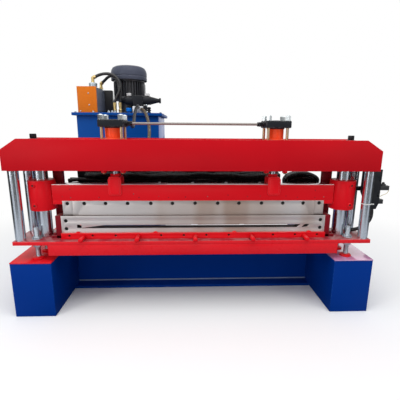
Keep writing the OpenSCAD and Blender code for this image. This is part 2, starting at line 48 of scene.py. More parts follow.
# ---- Camera ----
# The photographer stood in front of the cutter, a little right of its middle, at
# chest height, and looked down at it through a wide lens.
FRAME_PIXELS = 400
FOCAL_PIXELS = 320.6
pitch, yaw, roll = (math.radians(a) for a in (12.70, 2.38, 0.41))
camera_data = bpy.data.cameras.new("camera")
camera_data.sensor_width = 36.0
camera_data.lens = camera_data.sensor_width * FOCAL_PIXELS / FRAME_PIXELS
camera = bpy.data.objects.new("camera", camera_data)
level_ahead = Vector((math.sin(yaw), math.cos(yaw), 0))
level_right = Vector((math.cos(yaw), -math.sin(yaw), 0))
ahead = level_ahead * math.cos(pitch) - Vector((0, 0, math.sin(pitch)))
up = level_ahead * math.sin(pitch) + Vector((0, 0, math.cos(pitch)))
tilted_right = level_right * math.cos(roll) + up * math.sin(roll)
tilted_up = up * math.cos(roll) - level_right * math.sin(roll)
camera.matrix_world = Matrix.Translation((-0.041, -1.879, 0.941)) @ Matrix(
    (tilted_right, tilted_up, -ahead)).transposed().to_4x4()
scene.collection.objects.link(camera)
scene.camera = camera

# ---- Hydraulic hoses ----
# Wire-braided rubber hoses with a smooth cover, 20 mm outside, crimped into their
# fittings; the return hose has a tan cover, and the switch conduit is ribbed plastic.


def put(tree, kind, inputs=None, **settings):
    """A node in a tree, with its settings and its values or links."""
    node = tree.nodes.new(kind)
    for key, value in settings.items():
        setattr(node, key, value)
    for key, value in (inputs or {}).items():
        if isinstance(value, bpy.types.NodeSocket):
            tree.links.new(value, node.inputs[key])
        else:
            node.inputs[key].default_value = value
    return node


def sums(tree, operation, *values):
    """The output of a Math node over numbers or sockets."""
    return put(tree, "ShaderNodeMath", dict(enumerate(values)), operation=operation).outputs[0]


def ramp(tree, value, low, high, to_low=0.0, to_high=1.0):
    """A value eased from one range to another and held there."""
    return put(tree, "ShaderNodeMapRange", {
        "Value": value, "From Min": low, "From Max": high, "To Min": to_low, "To Max": to_high,
    }, interpolation_type="SMOOTHSTEP").outputs[0]


def tinted(tree, factor, first, second, mode="MIX"):
    """Two colours mixed by a factor."""
    mix = put(tree, "ShaderNodeMix", {0: factor, 6: first, 7: second}, data_type="RGBA",
              blend_type=mode)
    return mix.outputs[2]


def shader_group(name, inputs, outputs):
    """An empty shader node group with its sockets, and its inner ends."""
    group = bpy.data.node_groups.new(name, "ShaderNodeTree")
    for label, value in inputs.items():
        kind = {1: "NodeSocketFloat", 3: "NodeSocketVector", 4: "NodeSocketColor"}[
            len(value) if hasattr(value, "__len__") else 1]
        socket = group.interface.new_socket(label, in_out="INPUT", socket_type=kind)
        socket.default_value = value
    for label in outputs:
        kind = "NodeSocketColor" if label == "Color" else "NodeSocketFloat"
        group.interface.new_socket(label, in_out="OUTPUT", socket_type=kind)
    return group, put(group, "NodeGroupInput").outputs, put(group, "NodeGroupOutput")


def surface(name, group, values, bump=0.2, depth=0.0005, **shader_values):
    """A material whose colour, roughness and relief come from a node group."""
    material = bpy.data.materials.new(name)
    material.use_nodes = True
    tree = material.node_tree
    shader = tree.nodes["Principled BSDF"]
    skin = put(tree, "ShaderNodeGroup", values, node_tree=group)
    relief = put(tree, "ShaderNodeBump", {
        "Height": skin.outputs["Height"], "Strength": bump, "Distance": depth})
    tree.links.new(skin.outputs["Color"], shader.inputs["Base Color"])
    tree.links.new(skin.outputs["Roughness"], shader.inputs["Roughness"])
    tree.links.new(relief.outputs[0], shader.inputs["Normal"])
    for key, value in shader_values.items():
        shader.inputs[key.replace("_", " ")].default_value = value
    return material


rubber_cover, given, out = shader_group("hose_cover", {
    "Color": (0.01, 0.01, 0.011, 1), "Dust": 0.2, "Wrap": 0.0, "Gloss": 0.45},
    ["Color", "Roughness", "Height"])
hose_uv = put(rubber_cover, "ShaderNodeTexCoord").outputs["UV"]
scuff = put(rubber_cover, "ShaderNodeTexNoise", {"Vector": hose_uv, "Scale": 90.0, "Detail": 5.0})
long_marks = put(rubber_cover, "ShaderNodeTexNoise", {
    "Vector": put(rubber_cover, "ShaderNodeMapping", {"Vector": hose_uv, "Scale": (160, 9, 1)}).outputs[0],
    "Scale": 1.0, "Detail": 3.0})
wrap_lines = put(rubber_cover, "ShaderNodeTexWave", {
    "Vector": hose_uv, "Scale": 60.0, "Distortion": 1.0, "Detail": 2.0}, bands_direction="DIAGONAL")
# Pale patches as far as Dust asks: dust on the hoses, painted glints on the stretch film.
dust_and_painted_glints = sums(rubber_cover, "MULTIPLY", ramp(rubber_cover, scuff.outputs[0], 0.5, 0.75), given["Dust"])
rubber_cover.links.new(tinted(rubber_cover, dust_and_painted_glints, given["Color"], (0.3, 0.28, 0.25, 1)), out.inputs["Color"])
rubber_cover.links.new(sums(rubber_cover, "MULTIPLY_ADD", long_marks.outputs[0], 0.25, given["Gloss"]),
                       out.inputs["Roughness"])
rubber_cover.links.new(sums(rubber_cover, "MULTIPLY_ADD", wrap_lines.outputs[0], given["Wrap"],
                            sums(rubber_cover, "MULTIPLY", long_marks.outputs[0], 0.4)),
                       out.inputs["Height"])

black_hose = surface("black_hose_rubber", rubber_cover, {"Color": (0.012, 0.012, 0.013, 1), "Gloss": 0.28},
                     bump=0.25)
tan_hose = surface("tan_hose_rubber", rubber_cover, {
    "Color": (0.075, 0.050, 0.024, 1), "Wrap": 1.0, "Dust": 0.9, "Gloss": 0.5}, bump=0.6, depth=0.0008)
conduit_plastic = surface("conduit_plastic", rubber_cover, {
    "Color": (0.014, 0.014, 0.015, 1), "Dust": 0.15, "Gloss": 0.3}, bump=0.15)


def smooth_line(route, step):
    """Evenly spaced points, in metres, on a smooth curve through a route in millimetres."""
    ends = [Vector(p) / 1000 for p in route]
    ends = [2 * ends[0] - ends[1], *ends, 2 * ends[-1] - ends[-2]]
    dense = []
    for i in range(1, len(ends) - 2):
        a, b, c, d = ends[i - 1:i + 3]
        for k in range(12):
            t = k / 12
            dense.append(0.5 * (2 * b + (c - a) * t + (2 * a - 5 * b + 4 * c - d) * t * t
                                + (3 * b - a - 3 * c + d) * t ** 3))
    dense.append(ends[-2])
    for _ in range(60):
        eased = [(p + 2 * q + r) / 4 for p, q, r in zip(dense, dense[1:], dense[2:])]
        dense = [*dense[:5], *eased[4:-4], *dense[-5:]]
    spaced, travelled = [dense[0]], 0.0
    for a, b in zip(dense, dense[1:]):
        while travelled + (b - a).length >= step:
            a = a.lerp(b, (step - travelled) / (b - a).length)
            spaced.append(a.copy())
            travelled = 0.0
        travelled += (b - a).length
    if travelled > step / 2:
        spaced.append(dense[-1])
    else:
        spaced[-1] = dense[-1]
    return spaced


def tube_mesh(name, line, radius_at, sides):
    """A closed tube round a line, its UV map in metres round and along it."""
    bm = bmesh.new()
    uv = bm.loops.layers.uv.new("UVMap")
    side = (line[1] - line[0]).orthogonal().normalized()
    rings, along = [], [0.0]
    for i, point in enumerate(line):
        heading = (line[min(i + 1, len(line) - 1)] - line[max(i - 1, 0)]).normalized()
        side = (side - heading * side.dot(heading)).normalized()
        across = heading.cross(side)
        if i:
            along.append(along[-1] + (point - line[i - 1]).length)
        radius = radius_at(along[-1])
        turns = [2 * math.pi * k / sides for k in range(sides)]
        rings.append([bm.verts.new(point + radius * (math.cos(t) * side + math.sin(t) * across))
                      for t in turns])
    girth = 2 * math.pi * radius_at(0)
    for i in range(len(rings) - 1):
        for k in range(sides):
            near = (k + 1) % sides
            face = bm.faces.new((rings[i][k], rings[i][near], rings[i + 1][near], rings[i + 1][k]))
            spots = ((k, i), (k + 1, i), (k + 1, i + 1), (k, i + 1))
            for loop, (u, v) in zip(face.loops, spots):
                loop[uv].uv = (girth * u / sides, along[v])
    bm.faces.new(rings[0][::-1])
    bm.faces.new(rings[-1])
    mesh = bpy.data.meshes.new(name)
    bm.to_mesh(mesh)
    bm.free()
    return mesh


def shown(name, mesh, finishes, body, nodes=(), sharp=25):
    """A finished piece: its mesh shown, smooth up to an angle, riding on a body."""
    for finish in finishes:
        mesh.materials.append(finish)
    mesh.polygons.foreach_set("use_smooth", [True] * len(mesh.polygons))
    mesh.set_sharp_from_angle(angle=math.radians(sharp))
    piece = bpy.data.objects.new(name, mesh)
    scene.collection.objects.link(piece)
    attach(piece, body)
    if nodes:
        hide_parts(*nodes)
    return piece


hose_d = 0.02
cylinder_route = [
    (-395, 545, 1086), (-395, 515, 1086), (-391.6, 437.1, 1070.9), (-387.3, 379.4, 1052.6),
    (-382.2, 320.6, 1031.8), (-376.5, 261.7, 1010.8), (-370.1, 203.3, 991.5), (-363, 145, 974.8),
    (-355.8, 86.5, 961.3), (-348.6, 27.8, 951.5), (-341.3, -31.2, 945.9), (-334.1, -89.9, 944.5),
    (-327.4, -147.4, 948.4), (-320, -231, 959), (-320, -261, 959)]
return_route = [
    (-365, 545, 1066), (-365, 515, 1066), (-351.6, 466.6, 1063.5), (-337.3, 424.5, 1054.9),
    (-322.8, 381.6, 1039.1), (-308.2, 336.1, 1016.7), (-295.5, 292.2, 990.6), (-285.5, 250.6, 960.9),
    (-278.5, 209.8, 927.3), (-275, 168.5, 891.6), (-275.3, 132, 863.2), (-279.8, 96.9, 844.1),
    (-289.7, 56.3, 829.3), (-304.6, 8.8, 817.5), (-320.8, -42.1, 808.8), (-330.2, -78.4, 800.1),
    (-334.8, -102.5, 786.6), (-337, -120.1, 767.6), (-338, -137, 739), (-338, -137, 709)]
cooler_route = [
    (-674, 514, 1284), (-648.6, 514, 1295.5), (-622.4, 514, 1301.7), (-596.2, 514, 1303.9),
    (-570.9, 514, 1300.8), (-548.3, 514, 1291.7), (-529.5, 514, 1276.5), (-515.8, 514, 1256.8),
    (-508.8, 514, 1233.8), (-508.6, 514, 1209.5), (-515.4, 514, 1185.7), (-528.2, 514, 1161.5),
    (-542.1, 514, 1136.8), (-552, 514, 1113.2), (-552, 514, 1088)]
cooler_return_route = [
    (-666, 668, 1266), (-646.6, 652, 1277.4), (-628.5, 635.4, 1289.1), (-610.3, 619.8, 1297.8),
    (-592.3, 604.5, 1301.8), (-574.8, 589.3, 1300), (-558.3, 574.9, 1292.6), (-543.8, 562.3, 1279.9),
    (-532.4, 552.4, 1262.6), (-524.6, 545.7, 1241.7), (-520.4, 542.1, 1218.2), (-519, 541, 1192.2),
    (-519, 541, 1164.5), (-519, 541, 1136.3), (-519, 541, 1108)]
conduit_route = [
    (914, -300, 565), (914, -300, 548.6), (918.7, -297.5, 531.9), (923.2, -293.5, 513.6),
    (926.2, -288.5, 496.8), (927, -283.2, 481.7), (925.3, -277.9, 467.9), (921.1, -272.5, 454.8),
    (914.7, -267.3, 442.6), (906.2, -262.4, 431.8), (896, -258.1, 422.8), (884.4, -254.6, 415.7),
    (871.8, -252, 410.9), (858.6, -250, 408), (842, -250, 408)]
conduit_rib = 0.0045


def plain_hose(along):
    return hose_d / 2


def ribbed_conduit(along):
    return hose_d / 2 - 0.0013 * (0.5 + 0.5 * math.cos(2 * math.pi * along / conduit_rib))


for name, node, route, radius_at, step, finish, slot in (
        ("cylinder_pressure_hose", "cylinder_hose", cylinder_route, plain_hose, 0.006, black_hose, "black_rubber"),
        ("tan_return_hose", "return_hose", return_route, plain_hose, 0.006, tan_hose, "tan_rubber"),
        ("cooler_feed_hose", "cooler_hose", cooler_route, plain_hose, 0.005, black_hose, "black_rubber"),
        ("cooler_drain_hose", "cooler_return_hose", cooler_return_route, plain_hose, 0.005, black_hose,
         "black_rubber"),
        ("ribbed_switch_conduit", "switch_conduit", conduit_route, ribbed_conduit, conduit_rib / 6,
         conduit_plastic, "black_rubber")):
    line = smooth_line(route, step)
    hose = shown(name, tube_mesh(name, line, radius_at, 24), [finish], "frame", [node], sharp=60)

# ---- Pedestals ----
# Two welded boxes of 8 mm plate, sprayed in glossy blue enamel, with a red plate on
# top that the cutter's jack bolts stand on; the right plate's red is paled toward lilac,
# a painted reflection.
sprayed_coat, given, out = shader_group("sprayed_coat", {
    "Color": (0.5, 0.01, 0.02, 1), "Bare": (0.6, 0.5, 0.48, 1), "Shade": 0.06, "Peel": 420.0,
    "Dust": 0.2, "Wear": 0.3, "Rim": 0.0, "Gloss": 0.22}, ["Color", "Roughness", "Height"])
place = put(sprayed_coat, "ShaderNodeTexCoord").outputs["Object"]
clouds = put(sprayed_coat, "ShaderNodeTexNoise", {"Vector": place, "Scale": 3.2, "Detail": 3.0})
smudges = put(sprayed_coat, "ShaderNodeTexNoise", {"Vector": place, "Scale": 24.0, "Detail": 6.0})
peel = put(sprayed_coat, "ShaderNodeTexNoise", {"Vector": place, "Scale": given["Peel"], "Detail": 1.0})
chips = put(sprayed_coat, "ShaderNodeTexNoise", {"Vector": place, "Scale": 150.0, "Detail": 4.0})
scratch_map = put(sprayed_coat, "ShaderNodeMapping", {"Vector": place, "Scale": (9, 9, 190),
                                                      "Rotation": (0.5, 0.35, 0.2)})
scratches = ramp(sprayed_coat, put(sprayed_coat, "ShaderNodeTexNoise", {
    "Vector": scratch_map.outputs[0], "Scale": 1.0, "Detail": 6.0}).outputs[0], 0.69, 0.74)
facing_up = put(sprayed_coat, "ShaderNodeSeparateXYZ", {
    "Vector": put(sprayed_coat, "ShaderNodeNewGeometry").outputs["Normal"]}).outputs["Z"]
dust = sums(sprayed_coat, "MULTIPLY", sums(
    sprayed_coat, "MULTIPLY", ramp(sprayed_coat, facing_up, 0.55, 0.95),
    ramp(sprayed_coat, smudges.outputs[0], 0.35, 0.75)), given["Dust"])
on_edge = put(sprayed_coat, "ShaderNodeAttribute", attribute_name="edge").outputs["Fac"]
wear_and_painted_rim = sums(sprayed_coat, "MULTIPLY", sums(
    sprayed_coat, "MULTIPLY", on_edge, ramp(sprayed_coat, chips.outputs[0], 0.48, 0.66)), given["Wear"])
# Rim lightens every edge evenly toward the bare colour: a painted highlight along the edges, over the chipped wear.
wear_and_painted_rim = sums(sprayed_coat, "MAXIMUM", wear_and_painted_rim, sums(sprayed_coat, "MULTIPLY", on_edge, given["Rim"]))
value = sums(sprayed_coat, "ADD", sums(sprayed_coat, "MULTIPLY", sums(
    sprayed_coat, "SUBTRACT", clouds.outputs[0], 0.5), sums(sprayed_coat, "MULTIPLY", given["Shade"], 4.0)), 1.0)
shaded = put(sprayed_coat, "ShaderNodeHueSaturation", {"Value": value, "Color": given["Color"]}).outputs[0]
lit = tinted(sprayed_coat, wear_and_painted_rim, shaded, given["Bare"])
lit = tinted(sprayed_coat, dust, lit, (0.42, 0.38, 0.34, 1))
sprayed_coat.links.new(lit, out.inputs["Color"])
rough = sums(sprayed_coat, "MULTIPLY_ADD", smudges.outputs[0], 0.16, given["Gloss"])
rough = sums(sprayed_coat, "MULTIPLY_ADD", scratches, 0.2, rough)
rough = sums(sprayed_coat, "MULTIPLY_ADD", dust, 0.35, rough)
sprayed_coat.links.new(rough, out.inputs["Roughness"])
height = sums(sprayed_coat, "MULTIPLY_ADD", scratches, -0.5, peel.outputs[0])
sprayed_coat.links.new(sums(sprayed_coat, "MULTIPLY_ADD", wear_and_painted_rim, -0.8, height), out.inputs["Height"])


def painted(name, colour, bump=0.12, sheen=0.10, coat=0.0, coat_index=1.8, **values):
    """Sprayed paint over steel, with a sheen under a clear coat."""
    return surface(name, sprayed_coat, {"Color": (*colour, 1), **values}, bump=bump,
                   Specular_IOR_Level=sheen, Coat_Weight=coat, Coat_Roughness=0.08, Coat_IOR=coat_index)


# A blue paler than the enamel, for the bead along the girder's web: a painted highlight line.
blue_painted_highlight = painted("blue_enamel_painted_highlight", (0.16, 0.22, 0.38), sheen=0.5, coat=1.0, Gloss=0.12, Dust=0.0)
blue_enamel = painted("blue_enamel", (0.0, 0.033, 0.245), sheen=0.06, Wear=0.4, Gloss=0.3, Dust=0.02,
                      Bare=(0.03, 0.12, 0.45, 1))
red_enamel = painted("red_enamel", (0.74, 0.006, 0.013), Bare=(0.80, 0.25, 0.25, 1), Wear=0.35, Gloss=0.25)
red_gloss = painted("red_gloss_enamel", (0.74, 0.012, 0.02), sheen=0.12, coat=0.03, Gloss=0.12, Dust=0.0,
                    Bare=(0.8, 0.3, 0.3, 1))
# The right top plate: the red is paled toward lilac under a mirror-like clear coat, a painted reflection of bright
# light.
red_painted_reflection = painted("red_enamel_painted_reflection", (0.60, 0.28, 0.50), sheen=1.0, coat=1.0, coat_index=2.6, Gloss=0.08, Dust=0.0,
                     Bare=(0.8, 0.3, 0.3, 1))


def new_solid():
    """An empty mesh whose faces carry an edge mark, for wear."""
    bm = bmesh.new()
    bm.faces.layers.float.new("edge")
    return bm


def bar(bm, low, high, edge=0.0015, paint=0, rounds=2):
    """A rectangular bar between two corners, with its edges broken."""
    low, high = Vector(low), Vector(high)
    shape = Matrix.Translation((low + high) / 2) @ Matrix.Diagonal((*(high - low), 1))
    corners = bmesh.ops.create_cube(bm, size=1, matrix=shape)["verts"]
    for face in {f for v in corners for f in v.link_faces}:
        face.material_index = paint
    mark = bm.faces.layers.float["edge"]
    if edge:
        edges = list({e for v in corners for e in v.link_edges})
        cut = bmesh.ops.bevel(bm, geom=edges, offset=edge, segments=rounds, profile=0.5,
                              affect="EDGES", clamp_overlap=True)
        for face in cut["faces"]:
            face[mark] = 1.0
            face.material_index = paint


def turned(bm, profile, foot, axis=(0, 0, 1), sides=48, paint=0, turn=0.0):
    """A turned part: rings of (radius, height) along an axis from its foot."""
    mark = bm.faces.layers.float["edge"]
    pose = Matrix.Translation(foot) @ Vector(axis).to_track_quat("Z", "Y").to_matrix().to_4x4()
    rows = []
    for radius, height in profile:
        if radius == 0:
            rows.append([bm.verts.new(pose @ Vector((0, 0, height)))])
        else:
            angles = [turn + 2 * math.pi * k / sides for k in range(sides)]
            rows.append([bm.verts.new(pose @ Vector((radius * math.cos(a), radius * math.sin(a), height)))
                         for a in angles])
    for (lower, upper), (start, end) in zip(zip(rows, rows[1:]), zip(profile, profile[1:])):
        short = math.dist(start, end) < 0.003
        for k in range(sides):
            near = (k + 1) % sides
            if len(lower) == 1:
                ring = (lower[0], upper[near], upper[k])
            elif len(upper) == 1:
                ring = (lower[k], lower[near], upper[0])
            else:
                ring = (lower[k], lower[near], upper[near], upper[k])
            face = bm.faces.new(ring)
            face.material_index = paint
            face[mark] = 1.0 if short else 0.0


def pin_profile(radius, length, chamfer=0.0015):
    """A plain rod with chamfered ends."""
    return [(0, 0), (radius - chamfer, 0), (radius, chamfer), (radius, length - chamfer),
            (radius - chamfer, length), (0, length)]


def hexagon(bm, foot, across, height, axis=(0, 0, 1), paint=0, turn=0.0):
    """A hexagon nut or head with chamfered corners."""
    r = across / 2 / math.cos(math.pi / 6)
    turned(bm, [(0, 0), (r * 0.94, 0), (r, height * 0.12), (r, height * 0.86), (r * 0.93, height),
                (0, height)], foot, axis, 6, paint, turn)


def piece(bm, name, finishes, body, slot, *nodes, sharp=25):
    """Closes a mesh, turns its faces outwards and shows it as a piece."""
    bmesh.ops.remove_doubles(bm, verts=bm.verts, dist=1e-6)
    bmesh.ops.recalc_face_normals(bm, faces=bm.faces)
    mesh = bpy.data.meshes.new(name)
    bm.to_mesh(mesh)
    bm.free()
    return shown(name, mesh, finishes, body, nodes, sharp)


repeat = bpy.data.node_groups.new("repeat_on_points", "GeometryNodeTree")
for label, kind in (("Geometry", "Geometry"), ("Pattern", "Object"), ("Finish", "Material"),
                    ("Axis", "Vector"), ("Spread", "Float"), ("Smallest", "Float"), ("Seed", "Int")):
    repeat.interface.new_socket(label, in_out="INPUT", socket_type="NodeSocket" + kind)
repeat.interface.new_socket("Geometry", in_out="OUTPUT", socket_type="NodeSocketGeometry")
asked = put(repeat, "NodeGroupInput").outputs
any_turn = put(repeat, "FunctionNodeRandomValue", {2: 0.0, 3: asked["Spread"], "Seed": asked["Seed"]},
               data_type="FLOAT").outputs[1]
any_size = put(repeat, "FunctionNodeRandomValue", {2: asked["Smallest"], 3: 1.0, "Seed": asked["Seed"]},
               data_type="FLOAT").outputs[1]
turned_by = put(repeat, "ShaderNodeVectorMath", {0: asked["Axis"], "Scale": any_turn},
                operation="SCALE").outputs[0]
copies = put(repeat, "GeometryNodeInstanceOnPoints", {
    "Points": asked["Geometry"], "Rotation": turned_by, "Scale": any_size,
    "Instance": put(repeat, "GeometryNodeObjectInfo", {"Object": asked["Pattern"]}).outputs["Geometry"]})
dressed = put(repeat, "GeometryNodeSetMaterial", {
    "Geometry": put(repeat, "GeometryNodeRealizeInstances", {"Geometry": copies.outputs[0]}).outputs[0],
    "Material": asked["Finish"]})
put(repeat, "NodeGroupOutput", {"Geometry": dressed.outputs[0]})


def grown(name, carrier_mesh, tree, values):
    """The plain mesh that a Geometry Nodes tree makes on a carrier mesh."""
    carrier = bpy.data.objects.new(name + "_carrier", carrier_mesh)
    scene.collection.objects.link(carrier)
    modifier = carrier.modifiers.new("grow", "NODES")
    modifier.node_group = tree
    for socket in tree.interface.items_tree:
        if socket.in_out == "INPUT" and socket.name in values:
            modifier[socket.identifier] = values[socket.name]
    bpy.context.view_layer.update()
    mesh = bpy.data.meshes.new_from_object(
        carrier.evaluated_get(bpy.context.evaluated_depsgraph_get()))
    carrier.modifiers.remove(modifier)
    bpy.data.objects.remove(carrier)
    mesh.materials.clear()
    return mesh


def repeated(name, places, pattern_bm, finish, body, axis=(0, 1, 0), spread=0.0, smallest=1.0,
             seed=1, sharp=25):
    """One small part repeated at points, each turned about an axis by a seeded amount."""
    bmesh.ops.remove_doubles(pattern_bm, verts=pattern_bm.verts, dist=1e-6)
    bmesh.ops.recalc_face_normals(pattern_bm, faces=pattern_bm.faces)
    pattern_mesh = bpy.data.meshes.new(name + "_pattern")
    pattern_bm.to_mesh(pattern_mesh)
    pattern_bm.free()
    pattern = bpy.data.objects.new(name + "_pattern", pattern_mesh)
    scene.collection.objects.link(pattern)
    points = bpy.data.meshes.new(name + "_points")
    points.from_pydata([tuple(p) for p in places], [], [])
    mesh = grown(name, points, repeat, {
        "Pattern": pattern, "Finish": finish, "Axis": axis, "Spread": spread, "Smallest": smallest,
        "Seed": seed})
    bpy.data.objects.remove(pattern)
    return shown(name, mesh, [finish], body, sharp=sharp)


def stops(start, end, pitch):
    """Evenly spaced points from one end to the other."""
    start, end = Vector(start), Vector(end)
    count = max(2, round((end - start).length / pitch))
    return [start.lerp(end, k / (count - 1)) for k in range(count)]


def bead(size):
    """One ripple of a weld bead."""
    bm = new_solid()
    bmesh.ops.create_icosphere(bm, subdivisions=1, radius=size)
    return bm


plate_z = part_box("pedestal_tops")[0].z
for node in ("pedestal_left", "pedestal_right"):
    low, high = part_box(node)
    box = new_solid()
    bar(box, low, high, edge=0.004, rounds=3)
    piece(box, node + "_box", [blue_enamel], "frame", "blue_paint", node)
tops = new_solid()
seams = []
for side in (-1, 1):
    low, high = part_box("pedestal_left" if side < 0 else "pedestal_right")
    # The right plate takes the second finish, with the painted reflection.
    bar(tops, (low.x, low.y, plate_z), (high.x, high.y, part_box("pedestal_tops")[1].z), edge=0.0012, paint=int(side > 0))
    seams += stops((low.x + 0.004, low.y + 0.0004, plate_z - 0.001),
                   (high.x - 0.004, low.y + 0.0004, plate_z - 0.001), 0.004)
piece(tops, "pedestal_top_plates", [red_gloss, red_painted_reflection], "frame", "red_paint", "pedestal_tops")
repeated("top_plate_welds", seams, bead(0.0022), blue_enamel, "frame", smallest=0.8, sharp=80)

# ---- Cross beam ----
# A box girder of two webs between wide flanges, welded between the pedestals with
# rippled fillets and sprayed with them.
low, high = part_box("cross_beam")
flange_t, web_t, web_gap = 0.014, 0.009, 0.028
girder = new_solid()
bar(girder, low, (high.x, high.y, low.z + flange_t), edge=0.002)
bar(girder, (low.x, low.y, high.z - flange_t), high, edge=0.002)
for front in (-web_gap / 2 - web_t, web_gap / 2):
    bar(girder, (low.x, front, low.z + 0.004), (high.x, front + web_t, high.z - 0.004), edge=0)
piece(girder, "cross_girder", [blue_enamel], "frame", "blue_paint", "cross_beam")
seams = []
for y in (-web_gap / 2 - web_t - 0.002, web_gap / 2 + web_t + 0.002):
    for z in (low.z + flange_t + 0.002, high.z - flange_t - 0.002):
        seams += stops((low.x, y, z), (high.x, y, z), 0.005)
    for x in (low.x + 0.002, high.x - 0.002):
        seams += stops((x, y, low.z + flange_t), (x, y, high.z - flange_t), 0.005)
for x in (low.x + 0.002, high.x - 0.002):
    for z in (low.z + flange_t + 0.002, high.z + 0.001):
        seams += stops((x, low.y, z), (x, high.y, z), 0.005)
repeated("girder_welds", seams, bead(0.004), blue_enamel, "frame", smallest=0.75, sharp=80)

# A round bead along the foot of the front web, in the paler blue: a painted highlight line.
fillet = new_solid()
turned(fillet, pin_profile(0.005, high.x - low.x, 0.001), (low.x, -web_gap / 2 - web_t - 0.004, low.z + flange_t + 0.004),
       axis=(1, 0, 0), sides=16)
piece(fillet, "girder_front_fillet", [blue_painted_highlight], "frame", "blue_paint")

# ---- Base plate ----
# The cutter stands on a 20 mm red plate, stiffened from below by a welded box whose
# front is flush with it.
low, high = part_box("base_plate")
plate_bottom, plate_top = high.z - 0.020, high.z
apron_x, apron_t = 0.719, 0.012
# A slightly brighter copy of the red enamel, for the plate's front and apron: painted light.
apron_red_painted_light = painted("lit_copy_of_red_enamel", (0.76, 0.008, 0.016), sheen=0.16, coat=0.1, Bare=(0.85, 0.25, 0.25, 1), Gloss=0.2,
                   Dust=0.12)
base = new_solid()
bar(base, (low.x, low.y, plate_bottom), high, edge=0.002)
for y in (low.y, high.y - apron_t):
    bar(base, (-apron_x, y, low.z), (apron_x, y + apron_t, plate_bottom + 0.004), edge=0.0015)
for x in (-apron_x, apron_x - apron_t):
    bar(base, (x, low.y + apron_t, low.z), (x + apron_t, high.y - apron_t, plate_bottom + 0.002), edge=0.0015)
for x in (-0.24, 0.24):
    bar(base, (x - 0.005, low.y + apron_t, low.z + 0.01), (x + 0.005, high.y - apron_t, plate_bottom + 0.002),
        edge=0.001)
# The plate's top face: a much darker, greyer red than its front, a painted shade, with dust on it.
plate_top_dusty_shade = painted("plate_top_dust_and_painted_shade", (0.34, 0.020, 0.034), sheen=0.3, coat=0.25, Gloss=0.3, Dust=0.35)
# Faces at the plate's top take the darker red of the painted shade.
for face in base.faces:
    if face.calc_center_median().z > plate_top - 0.0005:
        face.material_index = 1
piece(base, "base_plate_and_apron", [apron_red_painted_light, plate_top_dusty_shade], "frame", "red_paint", "base_plate")
seams = []
for x in (-apron_x - 0.001, apron_x + 0.001):
    seams += stops((x, low.y + 0.004, plate_bottom - 0.001), (x, high.y - 0.004, plate_bottom - 0.001), 0.005)
    seams += stops((x, low.y + 0.001, low.z), (x, low.y + 0.001, plate_bottom), 0.005)
repeated("apron_welds", seams, bead(0.003), red_enamel, "frame", smallest=0.75, sharp=80)

# ---- Jack bolts ----
# Galvanised M24 studs that carry the cutter on the pedestals and set its height, with
# a nut and a washer above and below the plate; each stands in a red pad.
metal_grain, given, out = shader_group("metal_grain", {
    "Color": (0.6, 0.6, 0.6, 1), "Stain": (0.4, 0.3, 0.2, 1), "Stained": 0.2, "Stretch": (1.0, 1.0, 1.0),
    "Mottle": 12.0, "Middle": 0.0, "Gloss": 0.25, "Grain": 0.2}, ["Color", "Roughness", "Height"])
place = put(metal_grain, "ShaderNodeTexCoord").outputs["Object"]
grain = put(metal_grain, "ShaderNodeTexNoise", {
    "Vector": put(metal_grain, "ShaderNodeVectorMath", {0: place, 1: given["Stretch"]},
                  operation="MULTIPLY").outputs[0], "Scale": 1.0, "Detail": 5.0})
blotches = put(metal_grain, "ShaderNodeTexNoise", {"Vector": place, "Scale": given["Mottle"], "Detail": 4.0})
# A broad noise stretched tall, so that its bands run upright; it shapes the stains and the painted reflection bands.
broad = put(metal_grain, "ShaderNodeTexNoise", {
    "Vector": put(metal_grain, "ShaderNodeVectorMath", {0: place, 1: (1.5, 1.0, 0.08)},
                  operation="MULTIPLY").outputs[0], "Scale": 4.5, "Detail": 1.0})
stained = sums(metal_grain, "MULTIPLY", sums(
    metal_grain, "MULTIPLY", ramp(metal_grain, blotches.outputs[0], 0.42, 0.72),
    ramp(metal_grain, broad.outputs[0], 0.35, 0.62)), given["Stained"])
# Toward the middle (x = 0.08) the stain colour is laid on in upright bands, as far as Middle asks: a painted shade
# across the middle, with painted reflection bands.
off_middle = sums(metal_grain, "ABSOLUTE", sums(metal_grain, "SUBTRACT", put(
    metal_grain, "ShaderNodeSeparateXYZ", {"Vector": place}).outputs["X"], 0.08))
painted_reflection_bands = sums(metal_grain, "MULTIPLY", ramp(metal_grain, broad.outputs[0], 0.40, 0.60), 0.55)
painted_middle_shade = sums(metal_grain, "MULTIPLY", ramp(metal_grain, off_middle, 0.10, 0.46, 1.0, 0.25),
                     sums(metal_grain, "ADD", 0.6, painted_reflection_bands))
stained = sums(metal_grain, "MAXIMUM", stained, sums(metal_grain, "MULTIPLY", painted_middle_shade, given["Middle"]))
tone = sums(metal_grain, "MULTIPLY_ADD", grain.outputs[0], given["Grain"],
            sums(metal_grain, "SUBTRACT", 1.0, sums(metal_grain, "MULTIPLY", given["Grain"], 0.5)))
metal_grain.links.new(tinted(metal_grain, stained, put(metal_grain, "ShaderNodeHueSaturation", {
    "Value": tone, "Color": given["Color"]}).outputs[0], given["Stain"]), out.inputs["Color"])
metal_grain.links.new(sums(metal_grain, "ADD", sums(
    metal_grain, "MULTIPLY_ADD", grain.outputs[0], 0.14, given["Gloss"]),
    sums(metal_grain, "MULTIPLY", stained, 0.3)), out.inputs["Roughness"])
metal_grain.links.new(sums(metal_grain, "MULTIPLY_ADD", blotches.outputs[0], 0.3, grain.outputs[0]),
                      out.inputs["Height"])


def bare_metal(name, colour, bump=0.1, metal=1.0, **values):
    """Unpainted metal, with its grain, stains and a sheen of its own."""
    return surface(name, metal_grain, {"Color": (*colour, 1), **values}, bump=bump, depth=0.0002,
                   Metallic=metal)


